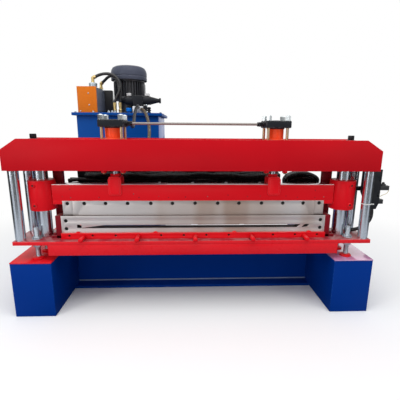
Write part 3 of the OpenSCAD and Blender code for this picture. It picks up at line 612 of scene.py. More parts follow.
galvanised = bare_metal("galvanised_steel", (0.50, 0.57, 0.62), Stretch=(90, 90, 90), Mottle=60.0,
                        Gloss=0.40, Stain=(0.55, 0.58, 0.60, 1), Stained=0.6)
jack_r, jack_x = 0.012, 0.790
jack_places = [(x, y) for x in (-jack_x, jack_x) for y in (-0.327, -0.223)]
pads_low, pads_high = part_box("jack_pads")


def thread(radius, start, end, pitch=0.003, depth=0.0009):
    """The profile of a threaded stretch."""
    rows, z = [], start
    while z < end - pitch:
        rows += [(radius, z + pitch * 0.1), (radius - depth, z + pitch * 0.55), (radius, z + pitch)]
        z += pitch
    return rows


studs = new_solid()
stud_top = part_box("jack_bolts")[1].z
for x, y in jack_places:
    length = stud_top - pads_high.z
    turned(studs, [(0, 0), (jack_r, 0), *thread(jack_r, 0.002, length - 0.004),
                   (jack_r - 0.0015, length - 0.001), (jack_r - 0.003, length), (0, length)],
           (x, y, pads_high.z), sides=32)
    for foot, nut_foot, nut_h in ((plate_top, plate_top + 0.003, 0.009),
                                  (plate_bottom - 0.003, plate_bottom - 0.021, 0.018)):
        turned(studs, pin_profile(0.0235, 0.003, 0.0006), (x, y, foot))
        hexagon(studs, (x, y, nut_foot), 0.036, nut_h, turn=0.4)
piece(studs, "jack_studs", [galvanised], "frame", "zinc_steel", "jack_bolts")
pads = new_solid()
for x, y in jack_places:
    turned(pads, [(0, 0), (0.0265, 0), (0.028, 0.0015), (0.028, 0.006), (0.026, 0.009), (0.0165, 0.0105),
                  (0.0155, 0.012), (0, 0.012)], (x, y, pads_low.z))
piece(pads, "jack_pad_discs", [red_enamel], "frame", "red_paint", "jack_pads")

# ---- Posts and guide pillars ----
# Ground and hard-chromed bars: four thin posts tie the top beam to the base, and two
# thick pillars guide the blade carriage.
chrome = bare_metal("hard_chrome", (0.76, 0.81, 0.86), bump=0.02, Stretch=(30, 30, 900), Gloss=0.13, Grain=0.06,
                    Stain=(0.35, 0.36, 0.38, 1), Stained=0.2, Mottle=3.0)
beam_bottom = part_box("top_beam")[0].z
clear_h = beam_bottom - plate_top
posts = new_solid()
for x in (-0.858, 0.858):
    for y in (-0.348, -0.202):
        turned(posts, [(0, 0), (0.0235, 0), (0.0235, 0.006), (0.0225, 0.0065), (0.0225, 0.0085), (0.024, 0.0095),
                       (0.024, clear_h - 0.004), (0.0225, clear_h - 0.002), (0.0225, clear_h), (0, clear_h)],
               (x, y, plate_top), sides=64)
piece(posts, "tie_posts", [chrome], "frame", "hard_chrome", "corner_posts")
pillars = new_solid()
guide_x, cutter_y = 0.763, -0.275
for x in (-guide_x, guide_x):
    turned(pillars, [(0, 0), (0.031, 0), (0.0325, 0.0015), (0.0325, clear_h - 0.0015), (0.031, clear_h),
                     (0, clear_h)], (x, cutter_y, plate_top), sides=96)
piece(pillars, "chromed_guide_pillars", [chrome], "frame", "hard_chrome", "guide_pillars")

# ---- Top beam ----
# A welded box of 12 mm plate: flat front and back plates with bevelled corners, and
# top and bottom plates let in between them.
low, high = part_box("top_beam")
bevel_l, bevel_h, wall_t, set_in = 0.077, 0.050, 0.012, 0.005


def cut_plate(bm, outline, holes, front, back, edge=0.0004, paint=0):
    """A plate cut to an outline in X and Z, with holes, from front to back."""
    curve = bpy.data.curves.new("cut", "CURVE")
    curve.dimensions, curve.fill_mode = "2D", "BOTH"
    curve.extrude, curve.bevel_depth, curve.bevel_resolution = (back - front) / 2 - edge, edge, 1
    for loop in [outline, *holes]:
        spline = curve.splines.new("POLY")
        spline.points.add(len(loop) - 1)
        for point, (x, z) in zip(spline.points, loop):
            point.co = (x, z, 0, 1)
        spline.use_cyclic_u = True
    cutter = bpy.data.objects.new("cut", curve)
    scene.collection.objects.link(cutter)
    bpy.context.view_layer.update()
    mesh = bpy.data.meshes.new_from_object(cutter.evaluated_get(bpy.context.evaluated_depsgraph_get()))
    bpy.data.objects.remove(cutter)
    mesh.transform(Matrix.Translation((0, (front + back) / 2, 0)) @ Matrix.Rotation(math.pi / 2, 4, "X"))
    start = len(bm.faces)
    bm.from_mesh(mesh)
    bm.faces.ensure_lookup_table()
    mark = bm.faces.layers.float["edge"]
    for face in bm.faces[start:]:
        face.material_index = paint
        face[mark] = 1.0 if 0.05 < abs(face.normal.y) < 0.95 else 0.0


def circle(x, z, radius, sides=24):
    """A round hole's outline."""
    return [(x + radius * math.cos(2 * math.pi * k / sides), z + radius * math.sin(2 * math.pi * k / sides))
            for k in range(sides)]


side_outline = [(low.x, low.z), (high.x, low.z), (high.x, high.z - bevel_h), (high.x - bevel_l, high.z),
                (low.x + bevel_l, high.z), (low.x, high.z - bevel_h)]
# The top beam's red is a darker copy of the red enamel: painted shade.
shaded_top_beam_paint = painted("shaded_copy_of_red_enamel", (0.53, 0.005, 0.011), sheen=0.06, Bare=(0.80, 0.22, 0.22, 1), Wear=0.5, Gloss=0.3)
beam = new_solid()
cut_plate(beam, side_outline, [], low.y, low.y + wall_t, edge=0.0014)
cut_plate(beam, side_outline, [], high.y - wall_t, high.y, edge=0.0014)
inner_front, inner_back = low.y + wall_t - 0.001, high.y - wall_t + 0.001
bar(beam, (low.x + bevel_l - 0.004, inner_front, high.z - wall_t - set_in),
    (high.x - bevel_l + 0.004, inner_back, high.z - set_in), edge=0.001)
bar(beam, (low.x + 0.003, inner_front, low.z + 0.001), (high.x - 0.003, inner_back, low.z + wall_t), edge=0.001)
for side in (-1, 1):
    end = side * (high.x - 0.004)
    bar(beam, (min(end, end - side * wall_t), inner_front, low.z + 0.001),
        (max(end, end - side * wall_t), inner_back, high.z - bevel_h - 0.002), edge=0.001)
    foot = Vector((side * (high.x - 0.006), 0, high.z - bevel_h - 0.004))
    head = Vector((side * (high.x - bevel_l), 0, high.z - set_in - 0.001))
    inward = Vector((-side * (head - foot).z, 0, -abs((head - foot).x))).normalized() * wall_t
    corners = [beam.verts.new(Vector((p.x, y, p.z))) for y in (inner_front, inner_back)
               for p in (foot, head, head + inward, foot + inward)]
    for ring in ((0, 1, 2, 3), (7, 6, 5, 4), (0, 4, 5, 1), (1, 5, 6, 2), (2, 6, 7, 3), (3, 7, 4, 0)):
        beam.faces.new([corners[k] for k in ring])
piece(beam, "top_beam_box", [shaded_top_beam_paint], "frame", "red_paint", "top_beam")
seams = []
for y in (low.y + wall_t + 0.001, high.y - wall_t - 0.001):
    seams += stops((low.x + bevel_l, y, high.z - set_in), (high.x - bevel_l, y, high.z - set_in), 0.005)
    for side in (-1, 1):
        seams += stops((side * (high.x - 0.005), y, low.z + 0.01), (side * (high.x - 0.005), y, high.z - bevel_h), 0.005)
        seams += stops((side * (high.x - 0.006), y, high.z - bevel_h), (side * (high.x - bevel_l), y, high.z - set_in),
                       0.005)
repeated("top_beam_welds", seams, bead(0.0032), red_enamel, "frame", smallest=0.75, sharp=80)

# ---- Pillar bolts ----
# Black oxide hexagon bolts that draw the top beam down on the guide pillars.
black_oxide = surface("black_oxide_steel", sprayed_coat, {
    "Color": (0.008, 0.009, 0.012, 1), "Bare": (0.12, 0.12, 0.13, 1), "Wear": 0.6, "Gloss": 0.38,
    "Dust": 0.12, "Shade": 0.15}, bump=0.2, Metallic=0.1, Specular_IOR_Level=0.3)
bolt_x, head_h = 0.781, 0.022
bolts = new_solid()
for x in (-bolt_x, bolt_x):
    turned(bolts, pin_profile(0.012, high.z - low.z, 0.001), (x, cutter_y, low.z), sides=32)
    hexagon(bolts, (x, cutter_y, high.z), 0.027, head_h, turn=0.26)
    turned(bolts, pin_profile(0.022, 0.0045, 0.0008), (x, cutter_y, high.z - set_in))
piece(bolts, "pillar_bolt_heads", [black_oxide], "frame", "black_steel", "pillar_bolts")

# ---- Dies ----
# Two ground tool steel plates with the slot that the sheet runs through; the front one
# shows its wedge and notch for the sheet's edges, and four counterbored screws.
# Middle darkens and browns the blade, shoes and front die toward their middle in upright bands: painted shade and
# reflection.
ground_steel = bare_metal("ground_tool_steel", (0.70, 0.675, 0.67), bump=0.05, Stretch=(9, 9, 420), Mottle=3.0,
                          Gloss=0.38, Grain=0.12, Stain=(0.42, 0.31, 0.25, 1), Stained=0.8, Middle=0.75)
# A near-black steel for the parts inside the cutter: painted shade, over their grain and stains.
dark_steel_painted_shade = bare_metal("dark_steel_painted_shade", (0.13, 0.10, 0.095), bump=0.1, Stretch=(9, 9, 420), Gloss=0.5, Grain=0.3,
                         Stain=(0.08, 0.05, 0.04, 1), Stained=0.6)
front_low, front_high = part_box("front_die")
rear_low, rear_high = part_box("rear_die")
slot_bottom, slot_top = 0.446, 0.4625
slot_loop = [(-0.566, slot_bottom + 0.0022), (-0.566, slot_bottom), (-0.458, slot_bottom), (0.521, slot_bottom), (0.540, slot_top),
             (0.250, slot_top), (0.248, slot_top + 0.002), (0.226, slot_top + 0.002), (0.224, slot_top),
             (0.014, slot_top), (0.012, slot_top + 0.0025), (-0.020, slot_top + 0.0025), (-0.022, slot_top),
             (-0.455, slot_top - 0.0005)]
notch_loop = [(-0.590, slot_bottom + 0.0015), (-0.5675, slot_bottom + 0.001), (-0.5675, slot_top + 0.0025),
              (-0.590, slot_top + 0.0025)]
window_loop = [(0.546, slot_bottom), (0.576, slot_bottom + 0.003), (0.587, slot_top), (0.563, slot_top + 0.0005)]
end_screws = [(x, z) for x in (-0.643, 0.643) for z in (0.444, 0.485)]
dies = new_solid()
cut_plate(dies, [(front_low.x, front_low.z), (front_high.x, front_low.z), (front_high.x, front_high.z),
                 (front_low.x, front_high.z)],
          [slot_loop, notch_loop, window_loop, *[circle(x, z, 0.0095) for x, z in end_screws]],
          front_low.y, front_high.y)
# The walls of the slot, notch and window and the die's top face take the dark steel: painted shade in the slot and in
# the gap under the blade.
for cut_face in dies.faces:
    if abs(cut_face.normal.y) < 0.3 and slot_bottom - 0.003 < cut_face.calc_center_median().z < slot_top + 0.003:
        cut_face.material_index = int(abs(cut_face.calc_center_median().x) < 0.60)
    elif cut_face.normal.z > 0.3 and cut_face.calc_center_median().z > front_high.z - 0.002:
        cut_face.material_index = 1
piece(dies, "front_die_plate", [ground_steel, dark_steel_painted_shade], "frame", "ground_steel", "front_die")
dies = new_solid()
# The rear die and the spacer are drawn wholly in the dark steel: painted shade.
cut_plate(dies, [(rear_low.x, rear_low.z), (rear_high.x, rear_low.z), (rear_high.x, rear_high.z),
                 (rear_low.x, rear_high.z)], [slot_loop, notch_loop, window_loop], rear_low.y, rear_high.y)
piece(dies, "rear_die_plate", [dark_steel_painted_shade], "frame", "ground_steel", "rear_die")
low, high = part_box("die_spacer")
spacer = new_solid()
bar(spacer, low, high, edge=0.0008)
piece(spacer, "die_spacer_bar", [dark_steel_painted_shade], "frame", "ground_steel", "die_spacer")


def socket_screw(radius, height, recess=0.0035):
    """A socket head screw seen from the front: a head with a hexagon recess."""
    bm = new_solid()
    key = radius * 0.55
    turned(bm, [(0, 0), (radius, 0), (radius, height - 0.0008), (radius - 0.0008, height), (key * 1.1, height)],
           (0, height, 0), axis=(0, -1, 0), sides=24)
    turned(bm, [(key * 1.1, height), (key, height - recess), (0, height - recess)],
           (0, height, 0), axis=(0, -1, 0), sides=24)
    return bm


screw_black = surface("screw_black", sprayed_coat, {
    "Color": (0.012, 0.011, 0.011, 1), "Bare": (0.1, 0.09, 0.08, 1), "Wear": 0.7, "Gloss": 0.45, "Dust": 0.0},
    bump=0.1, Metallic=0.3)
repeated("die_screws", [(x, front_low.y + 0.003, z) for x, z in end_screws], socket_screw(0.0090, 0.008),
         screw_black, "frame", spread=1.0, seed=4)

# ---- Die holders, brackets and stop bars ----
# Red bars screwed along the foot of each die, brackets at the dies' ends, and round
# stop bars that the sheet's catch rests on.
low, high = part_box("front_die_holder")
holder_x, holder_h = high.x, 0.027
holder_front, holder_back = low.y, low.y + 0.015
screw_x = [side * x for x in (0.057, 0.171, 0.285, 0.398, 0.512, 0.626) for side in (-1, 1)]
holder = new_solid()
cut_plate(holder, [(-holder_x, plate_top), (holder_x, plate_top), (holder_x, plate_top + holder_h),
                   (-holder_x, plate_top + holder_h)],
          [circle(x, 0.4115, 0.0068, 16) for x in screw_x], holder_front, holder_back, edge=0.0009)
for side in (-1, 1):
    for x in (0.200, 0.586):
        turned(holder, pin_profile(0.0145, 0.009, 0.002), (side * x, holder_back + 0.001, plate_top + holder_h - 0.007),
               axis=(0, -1, 0), sides=40)
piece(holder, "front_holder_bar", [red_enamel], "frame", "red_paint", "front_die_holder")
repeated("holder_screws", [(x, holder_front + 0.008, 0.4115) for x in screw_x], socket_screw(0.0067, 0.005, 0.002),
         screw_black, "frame", spread=1.0, seed=5)
low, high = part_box("rear_die_holder")
holder = new_solid()
bar(holder, low, high, edge=0.001)
piece(holder, "rear_holder_bar", [red_enamel], "frame", "red_paint", "rear_die_holder")
low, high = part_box("stop_bars")
rests = new_solid()
stop_r, stop_z = 0.011, plate_top + 0.011
for k, x in enumerate((-0.555, -0.285, 0, 0.285, 0.555)):
    stub = [(0, 0), (stop_r * 0.55, 0), (stop_r * 0.86, 0.0012), (stop_r, 0.004), (stop_r, high.y - low.y - 0.001),
            (stop_r * 0.9, high.y - low.y), (0, high.y - low.y)]
    turned(rests, stub, (x, low.y, stop_z), axis=(0, 1, 0), sides=32)
    for turn in (0.6, 2.4, 4.4):
        knob = 0.0042 + 0.0006 * ((k * 3 + turn) % 2)
        bmesh.ops.create_icosphere(rests, subdivisions=2, radius=knob, matrix=Matrix.Translation((
            x + 0.006 * math.cos(turn + k), low.y + 0.005, stop_z + 0.006 * math.sin(turn + k))))
piece(rests, "round_stop_bars", [red_enamel], "frame", "red_paint", "stop_bars", sharp=50)
# A much darker copy of the red enamel, for the die brackets and the rear uprights that stand back inside the cutter:
# painted shade.
dark_red = painted("red_enamel_painted_shade", (0.20, 0.005, 0.012), Wear=0.2, Gloss=0.35)
low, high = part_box("die_brackets")
brackets = new_solid()
bracket_x = front_high.x + 0.0003
for side in (-1, 1):
    for width, height in ((0.028, front_high.z - plate_top), (0.052, 0.014)):
        a, b = side * bracket_x, side * (bracket_x + width)
        bar(brackets, (min(a, b), low.y, plate_top), (max(a, b), high.y, plate_top + height), edge=0.0015)
    hexagon(brackets, (side * (bracket_x + 0.041), low.y + 0.02, plate_top + 0.014), 0.016, 0.009)
    hexagon(brackets, (side * (bracket_x + 0.041), high.y - 0.015, plate_top + 0.014), 0.016, 0.009, turn=0.3)
piece(brackets, "die_end_brackets", [dark_red], "frame", "dark_red_paint", "die_brackets")
low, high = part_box("rear_uprights")
uprights = new_solid()
for x in (low.x, high.x - 0.050):
    bar(uprights, (x, low.y, low.z), (x + 0.050, high.y, high.z), edge=0.0025)
piece(uprights, "rear_flat_uprights", [dark_red], "frame", "dark_red_paint", "rear_uprights")

# ---- Blade beam ----
# A solid red bar that carries the moving blade, stepped down at both ends where it is
# welded to the guide sleeves; old tapped holes along it are filled.
low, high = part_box("blade_beam")
beam_front, beam_back = low.y, high.y
blade_top = 0.583
beam_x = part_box("blade_beam")[1].x
beam_bm = new_solid()
bar(beam_bm, (-beam_x, beam_front, blade_top), (beam_x, beam_back, high.z), edge=0.002)
blade_edge = 0.6585
for side in (-1, 1):
    a, b = side * blade_edge, side * beam_x
    bar(beam_bm, (min(a, b), beam_front, blade_top - 0.017), (max(a, b), beam_back, blade_top + 0.003), edge=0.0012)
bar(beam_bm, (-0.657, beam_front + 0.016, blade_top - 0.022), (0.657, beam_back, blade_top + 0.003), edge=0.001)
# The beam's top faces are a pale pinkish red under a mirror-like clear coat: a painted highlight along the top edge.
beam_top_painted_highlight = painted("beam_top_painted_reflection", (0.58, 0.40, 0.41), sheen=1.0, coat=1.0, coat_index=2.2, Gloss=0.1, Dust=0.0)
for face in beam_bm.faces:
    if face.calc_center_median().z > high.z - 0.0025 and face.normal.z > 0.3:
        face.material_index = 1
piece(beam_bm, "blade_carrier_beam", [red_enamel, beam_top_painted_highlight], "blade_carriage", "red_paint", "blade_beam")
hole_fill = painted("filled_hole_paint", (0.26, 0.010, 0.018), Gloss=0.45)
plugs = new_solid()
turned(plugs, [(0, 0), (0.0030, 0), (0.0034, 0.0004), (0.0026, 0.0008), (0, 0.0005)], (0, 0.0003, 0),
       axis=(0, -1, 0), sides=16)
plug_places = [(-0.615, 0.601), (-0.616, 0.643), (-0.476, 0.601), (-0.306, 0.618), (-0.280, 0.600), (-0.182, 0.606),
               (-0.133, 0.600), (-0.048, 0.602), (0.062, 0.605), (0.165, 0.612), (0.264, 0.604), (0.330, 0.607),
               (0.460, 0.607), (0.609, 0.636), (0.610, 0.599), (0.655, 0.602), (-0.655, 0.606), (0.520, 0.600)]
repeated("filled_holes", [(x, beam_front, z) for x, z in plug_places], plugs, hole_fill, "blade_carriage",
         smallest=0.6, seed=3)
pale_screw = bare_metal("bright_zinc", (0.44, 0.46, 0.48), metal=0.8, Stretch=(60, 60, 60), Gloss=0.34, Stained=0.1)
cap = new_solid()
turned(cap, [(0, 0), (0.0075, 0), (0.008, 0.0015), (0.0065, 0.0045), (0.003, 0.0055), (0, 0.0055)], (0, 0, 0), sides=24)
repeated("beam_top_screws", [(x, -0.262, high.z - 0.0005) for x in (-0.181, -0.012, 0.159, 0.333)], cap, pale_screw,
         "blade_carriage", axis=(0, 0, 1), spread=3.0)

# ---- Guide sleeves ----
# Thick red bushes that slide on the pillars, welded to the beam's ends, with a nipple
# boss near each rim.
low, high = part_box("guide_sleeves")
sleeve_r, bore_r, sleeve_h = 0.063, 0.033, high.z - low.z
sleeves = new_solid()
for x in (-guide_x, guide_x):
    turned(sleeves, [(bore_r, 0.002), (bore_r + 0.002, 0), (sleeve_r - 0.002, 0), (sleeve_r - 0.0006, 0.0006),
                     (sleeve_r, 0.002), (sleeve_r, sleeve_h - 0.002), (sleeve_r - 0.0006, sleeve_h - 0.0006),
                     (sleeve_r - 0.002, sleeve_h), (bore_r + 0.002, sleeve_h), (bore_r, sleeve_h - 0.002),
                     (bore_r, 0.002)], (x, cutter_y, low.z), sides=96)
piece(sleeves, "carriage_guide_sleeves", [red_enamel], "blade_carriage", "red_paint", "guide_sleeves")
boss = new_solid()
turned(boss, [(0, 0), (0.0100, 0), (0.0108, 0.0008), (0.0108, 0.0100), (0.0094, 0.0112), (0.0062, 0.0112),
              (0.0054, 0.008), (0, 0.008)], (0, 0.004, 0), axis=(0, -1, 0), sides=24)
boss_places = [(side * (guide_x + 0.016), cutter_y - math.sqrt(sleeve_r ** 2 - 0.016 ** 2), z)
               for side in (-1, 1) for z in (0.664, 0.565)]
repeated("sleeve_bosses", boss_places, boss, red_enamel, "blade_carriage")
nipple = new_solid()
turned(nipple, [(0, 0), (0.0046, 0), (0.0046, 0.003), (0.0030, 0.0040), (0.0026, 0.005), (0.0012, 0.0055), (0, 0.0055)],
       (0, 0, 0), axis=(0, -1, 0), sides=16)
brass = bare_metal("machined_brass", (0.72, 0.55, 0.24), Stretch=(120, 120, 400), Gloss=0.26, Stained=0.3,
                   Stain=(0.4, 0.26, 0.08, 1), Mottle=40.0)
repeated("sleeve_nipples", [(x, y - 0.001, z) for x, y, z in boss_places], nipple, screw_black, "blade_carriage")
seams = []
for side in (-1, 1):
    x = side * (guide_x - math.sqrt(sleeve_r ** 2 - 0.034 ** 2))
    for y in (beam_front - 0.0005, beam_back + 0.0005):
        seams += stops((x, y, blade_top - 0.015), (x, y, 0.664), 0.004)
    seams += [Vector((side * (guide_x - math.sqrt(sleeve_r ** 2 - (y - cutter_y) ** 2)), y, 0.6655))
              for y in [beam_front + 0.004 * k for k in range(1, 17)]]
repeated("sleeve_welds", seams, bead(0.0033), red_enamel, "blade_carriage", smallest=0.75, sharp=80)

# ---- Moving blade ----
# A ground tool steel blade in one long length with a short shoe at each end, held to
# the beam by a row of counterbored socket screws.
blade_screws = [0.0] + [side * x for x in (0.114, 0.222, 0.337, 0.446, 0.551) for side in (-1, 1)]
shoe_screws = [-0.634, 0.634]
low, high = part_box("moving_blade")
blade = new_solid()
cut_plate(blade, [(low.x, low.z), (high.x, low.z), (high.x, high.z), (low.x, high.z)],
          [circle(x, 0.570, 0.0098) for x in blade_screws], low.y, high.y)
piece(blade, "moving_blade_plate", [ground_steel], "blade_carriage", "ground_steel", "moving_blade")
low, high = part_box("blade_shoes")
shoes = new_solid()
for side in (-1, 1):
    inner, outer = side * 0.611, side * high.x
    cut_plate(shoes, [(min(inner, outer), low.z), (max(inner, outer), low.z), (max(inner, outer), high.z),
                      (min(inner, outer), high.z)], [circle(side * 0.634, 0.570, 0.0098)], low.y, high.y)
piece(shoes, "blade_end_shoes", [ground_steel], "blade_carriage", "ground_steel", "blade_shoes")
repeated("blade_screw_heads", [(x, low.y + 0.0035, 0.570) for x in blade_screws + shoe_screws],
         socket_screw(0.0093, 0.008), screw_black, "blade_carriage", spread=1.0, seed=7)

# ---- Clevises ----
# Forks of flat bar that hang from the piston rods and clasp the beam front and back,
# with rounded lower ends and a pad in front.
low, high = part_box("clevises")
rod_x, fork_w, cheek_t = 0.396, 0.060, 0.006
cheek_bottom, fork_top = 0.614, 0.703


def fork_outline(x, width, bottom, top, radius, shoulder):
    """A plate with rounded lower corners and sloped shoulders."""
    loop = []
    for side, start in ((-1, math.pi), (1, 1.5 * math.pi)):
        centre = (x + side * (width / 2 - radius), bottom + radius)
        loop += [(centre[0] + radius * math.cos(start + math.pi / 2 * k / 8),
                  centre[1] + radius * math.sin(start + math.pi / 2 * k / 8)) for k in range(9)]
    return loop + [(x + width / 2, top - shoulder), (x + width / 2 - shoulder, top),
                   (x - width / 2 + shoulder, top), (x - width / 2, top - shoulder)]


# A brighter copy of the red enamel for the clevises, with its edges lightened evenly: painted highlights.
clevis_red_painted_highlight = painted("red_enamel_painted_rim_highlight", (0.84, 0.007, 0.015), Bare=(0.90, 0.16, 0.17, 1), Wear=0.3, Rim=0.25, Gloss=0.25)
forks = new_solid()
for x in (-rod_x, rod_x):
    bar(forks, (x - fork_w / 2, beam_front - 0.001, 0.666), (x + fork_w / 2, beam_back + 0.001, fork_top), edge=0.004)
    for front, back in ((beam_front - cheek_t, beam_front), (beam_back, beam_back + cheek_t)):
        cut_plate(forks, fork_outline(x, fork_w, cheek_bottom, fork_top, 0.010, 0.012), [], front, back, edge=0.0018)
    cut_plate(forks, fork_outline(x, 0.044, cheek_bottom + 0.006, 0.694, 0.008, 0.006), [],
              low.y, beam_front - cheek_t + 0.001, edge=0.0016)
piece(forks, "rod_clevises", [clevis_red_painted_highlight], "blade_carriage", "red_paint", "clevises")
low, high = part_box("piston_rods")
rods = new_solid()
for x in (-rod_x, rod_x):
    length = high.z - low.z
    turned(rods, [(0, -0.016), (0.0145, -0.016), (0.016, -0.0145), (0.016, length - 0.030), (0.031, length - 0.030),
                  (0.031, length), (0, length)], (x, cutter_y, low.z), sides=64)
piece(rods, "chromed_piston_rods", [chrome], "blade_carriage", "hard_chrome", "piston_rods")
lock = new_solid()
hexagon(lock, (0, 0, 0), 0.044, 0.014)
repeated("rod_lock_nuts", [(x, cutter_y, fork_top - 0.001) for x in (-rod_x, rod_x)], lock, red_enamel, "blade_carriage",
         axis=(0, 0, 1), spread=1.0)

# ---- Trip arm ----
# A black flat bar on the right sleeve that trips the two limit switches.
low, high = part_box("trip_arm")
arm = new_solid()
bar(arm, low, (high.x, high.y, high.z), edge=0.0015)
turned(arm, pin_profile(0.006, 0.004, 0.001), (high.x - 0.02, low.y + 0.0005, (low.z + high.z) / 2), axis=(0, -1, 0),
       sides=24)
piece(arm, "switch_trip_arm", [black_oxide], "blade_carriage", "black_steel", "trip_arm")

# ---- Cylinders ----
# Honed tube cylinders in orange-red enamel with square black heads, clamped to the
# top beam by four yellow zinc tie rods with domed nuts.
cylinder_red = painted("cylinder_enamel", (1.0, 0.085, 0.018), sheen=0.2, Wear=0.15, Gloss=0.2, Shade=0.05)
cap_black = painted("cylinder_head_black", (0.018, 0.020, 0.024), Bare=(0.2, 0.2, 0.2, 1), Gloss=0.34, Dust=0.35)
zinc_yellow = bare_metal("yellow_zinc", (0.62, 0.50, 0.30), Stretch=(60, 60, 300), Gloss=0.3, Stained=0.5,
                         Stain=(0.55, 0.52, 0.45, 1), Mottle=25.0)
tie_places = [(side * rod_x + a, cutter_y + b) for side in (-1, 1) for a in (-0.046, 0.046) for b in (-0.046, 0.046)]
for side, node in ((-1, "cylinder_left"), (1, "cylinder_right")):
    low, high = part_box(node)
    cap_z = high.z - 0.034
    tube = new_solid()
    length = cap_z - low.z + 0.002
    turned(tube, [(0.0315, 0), (0.040, 0), (0.040, length), (0.0315, length), (0.0315, 0)],
           (side * rod_x, cutter_y, low.z), sides=96)
    turned(tube, [(0.0395, 0), (0.052, 0), (0.052, 0.006), (0.046, 0.010), (0.0405, 0.0105), (0.0395, 0)],
           (side * rod_x, cutter_y, 0.8805), sides=96)
    piece(tube, node + "_tube", [cylinder_red], "frame", "cylinder_paint", node)
    head = new_solid()
    bar(head, (low.x, low.y, cap_z), (high.x, high.y, high.z), edge=0.005, rounds=3)
    turned(head, pin_profile(0.043, 0.006, 0.002), (side * rod_x, cutter_y, cap_z - 0.005), sides=64)
    turned(head, pin_profile(0.018, 0.003, 0.001), (side * rod_x, cutter_y, high.z - 0.0005), sides=32)
    hexagon(head, (side * (rod_x + 0.0605), cutter_y, cap_z + 0.017), 0.019, 0.006, axis=(side, 0, 0))
    piece(head, node + "_head", [cap_black], "frame", "black_steel")
low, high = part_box("tie_rods")
ties = new_solid()
tie_l = high.z - low.z
for x, y in tie_places:
    turned(ties, [(0, 0), (0.006, 0), *thread(0.007, 0.001, 0.045, 0.002, 0.0007), (0.0068, 0.05),
                  (0.0068, tie_l - 0.036), *thread(0.007, tie_l - 0.034, tie_l - 0.001, 0.002, 0.0007), (0.006, tie_l),
                  (0, tie_l)], (x, y, low.z), sides=24)
piece(ties, "cylinder_tie_rods", [zinc_yellow], "frame", "yellow_zinc", "tie_rods")
bright_nut = bare_metal("bright_nut_plating", (0.60, 0.64, 0.65), metal=0.9, Stretch=(60, 60, 60), Gloss=0.22, Stained=0.1)
tall_nut = new_solid()
turned(tall_nut, [(0, 0), (0.0130, 0), (0.0134, 0.0006), (0.0134, 0.0018), (0, 0.0018)], (0, 0, 0), sides=24)
nut_r = 0.0134
turned(tall_nut, [(0, 0.0016), (nut_r, 0.0016), (nut_r, 0.0215), (nut_r - 0.0018, 0.0235), (0, 0.0235)], (0, 0, 0), sides=6)
turned(tall_nut, pin_profile(0.0068, 0.0030, 0.0008), (0, 0, 0.0225), sides=24)
repeated("tie_rod_top_nuts", [(x, y, 0.9755) for x, y in tie_places], tall_nut, bright_nut, "frame",
         axis=(0, 0, 1), spread=0.5, seed=11)
under = new_solid()
hexagon(under, (0, 0, 0), 0.024, 0.0135)
turned(under, pin_profile(0.014, 0.0025, 0.0006), (0, 0, 0.0135), sides=24)
repeated("tie_rod_lower_nuts", [(x, y, beam_bottom - 0.016) for x, y in tie_places], under, red_enamel, "frame",
         axis=(0, 0, 1), spread=1.0, seed=12)

# ---- Link pipe ----
# A drawn steel pipe that joins the two cylinder heads, in compression fittings with
# black tees.
low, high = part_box("link_pipe")
pipe_z = 0.959
tee_x = rod_x - 0.061 - 0.015
pipe_steel = bare_metal("drawn_steel_pipe", (0.27, 0.24, 0.22), metal=0.35, Stretch=(8, 300, 300), Gloss=0.42, Stained=0.4,
                        Stain=(0.42, 0.38, 0.36, 1))
pipe = new_solid()
turned(pipe, pin_profile(0.006, 2 * tee_x, 0.0008), (-tee_x, cutter_y, pipe_z), axis=(1, 0, 0), sides=32)
piece(pipe, "drawn_link_pipe", [pipe_steel], "frame", "zinc_steel", "link_pipe")
tees = new_solid()
for side in (-1, 1):
    bar(tees, (side * tee_x - 0.009, cutter_y - 0.010, pipe_z - 0.010), (side * tee_x + 0.009, cutter_y + 0.010, pipe_z + 0.010),
        edge=0.003, rounds=3)
    hexagon(tees, (side * (tee_x + 0.010), cutter_y, pipe_z), 0.022, 0.006, axis=(side, 0, 0))
    hexagon(tees, (side * (tee_x - 0.008), cutter_y, pipe_z), 0.018, 0.008, axis=(-side, 0, 0), turn=0.3)
    hexagon(tees, (side * tee_x, cutter_y + 0.010, pipe_z), 0.022, 0.0045, axis=(0, 1, 0))
piece(tees, "link_pipe_tees", [black_oxide], "frame", "black_steel")

# ---- Switches ----
# A black steel plate hangs from the top beam on the right and carries two roller limit
# switches, whose cables leave through the ribbed conduit.
low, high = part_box("switch_plate")
plate = new_solid()
slots = [[(x - 0.003, z - 0.012), (x + 0.003, z - 0.012), (x + 0.003, z + 0.012), (x - 0.003, z + 0.012)]
         for x in (0.888, 0.928) for z in (0.695, 0.612)]
cut_plate(plate, [(low.x + 0.045, low.z), (high.x - 0.022, low.z), (high.x - 0.010, low.z + 0.030),
                  (high.x - 0.010, high.z), (low.x, high.z), (low.x, low.z + 0.09)], slots, low.y, high.y, edge=0.0008)
piece(plate, "switch_mounting_plate", [black_oxide], "frame", "black_steel", "switch_plate")
switch_plastic = surface("switch_plastic", sprayed_coat, {
    "Color": (0.018, 0.019, 0.021, 1), "Peel": 900.0, "Gloss": 0.36, "Dust": 0.25, "Wear": 0.15,
    "Bare": (0.12, 0.12, 0.12, 1)}, bump=0.25)
low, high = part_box("limit_switches")
switch_zs = (high.z - 0.012, low.z + 0.012)
switches, levers = new_solid(), new_solid()
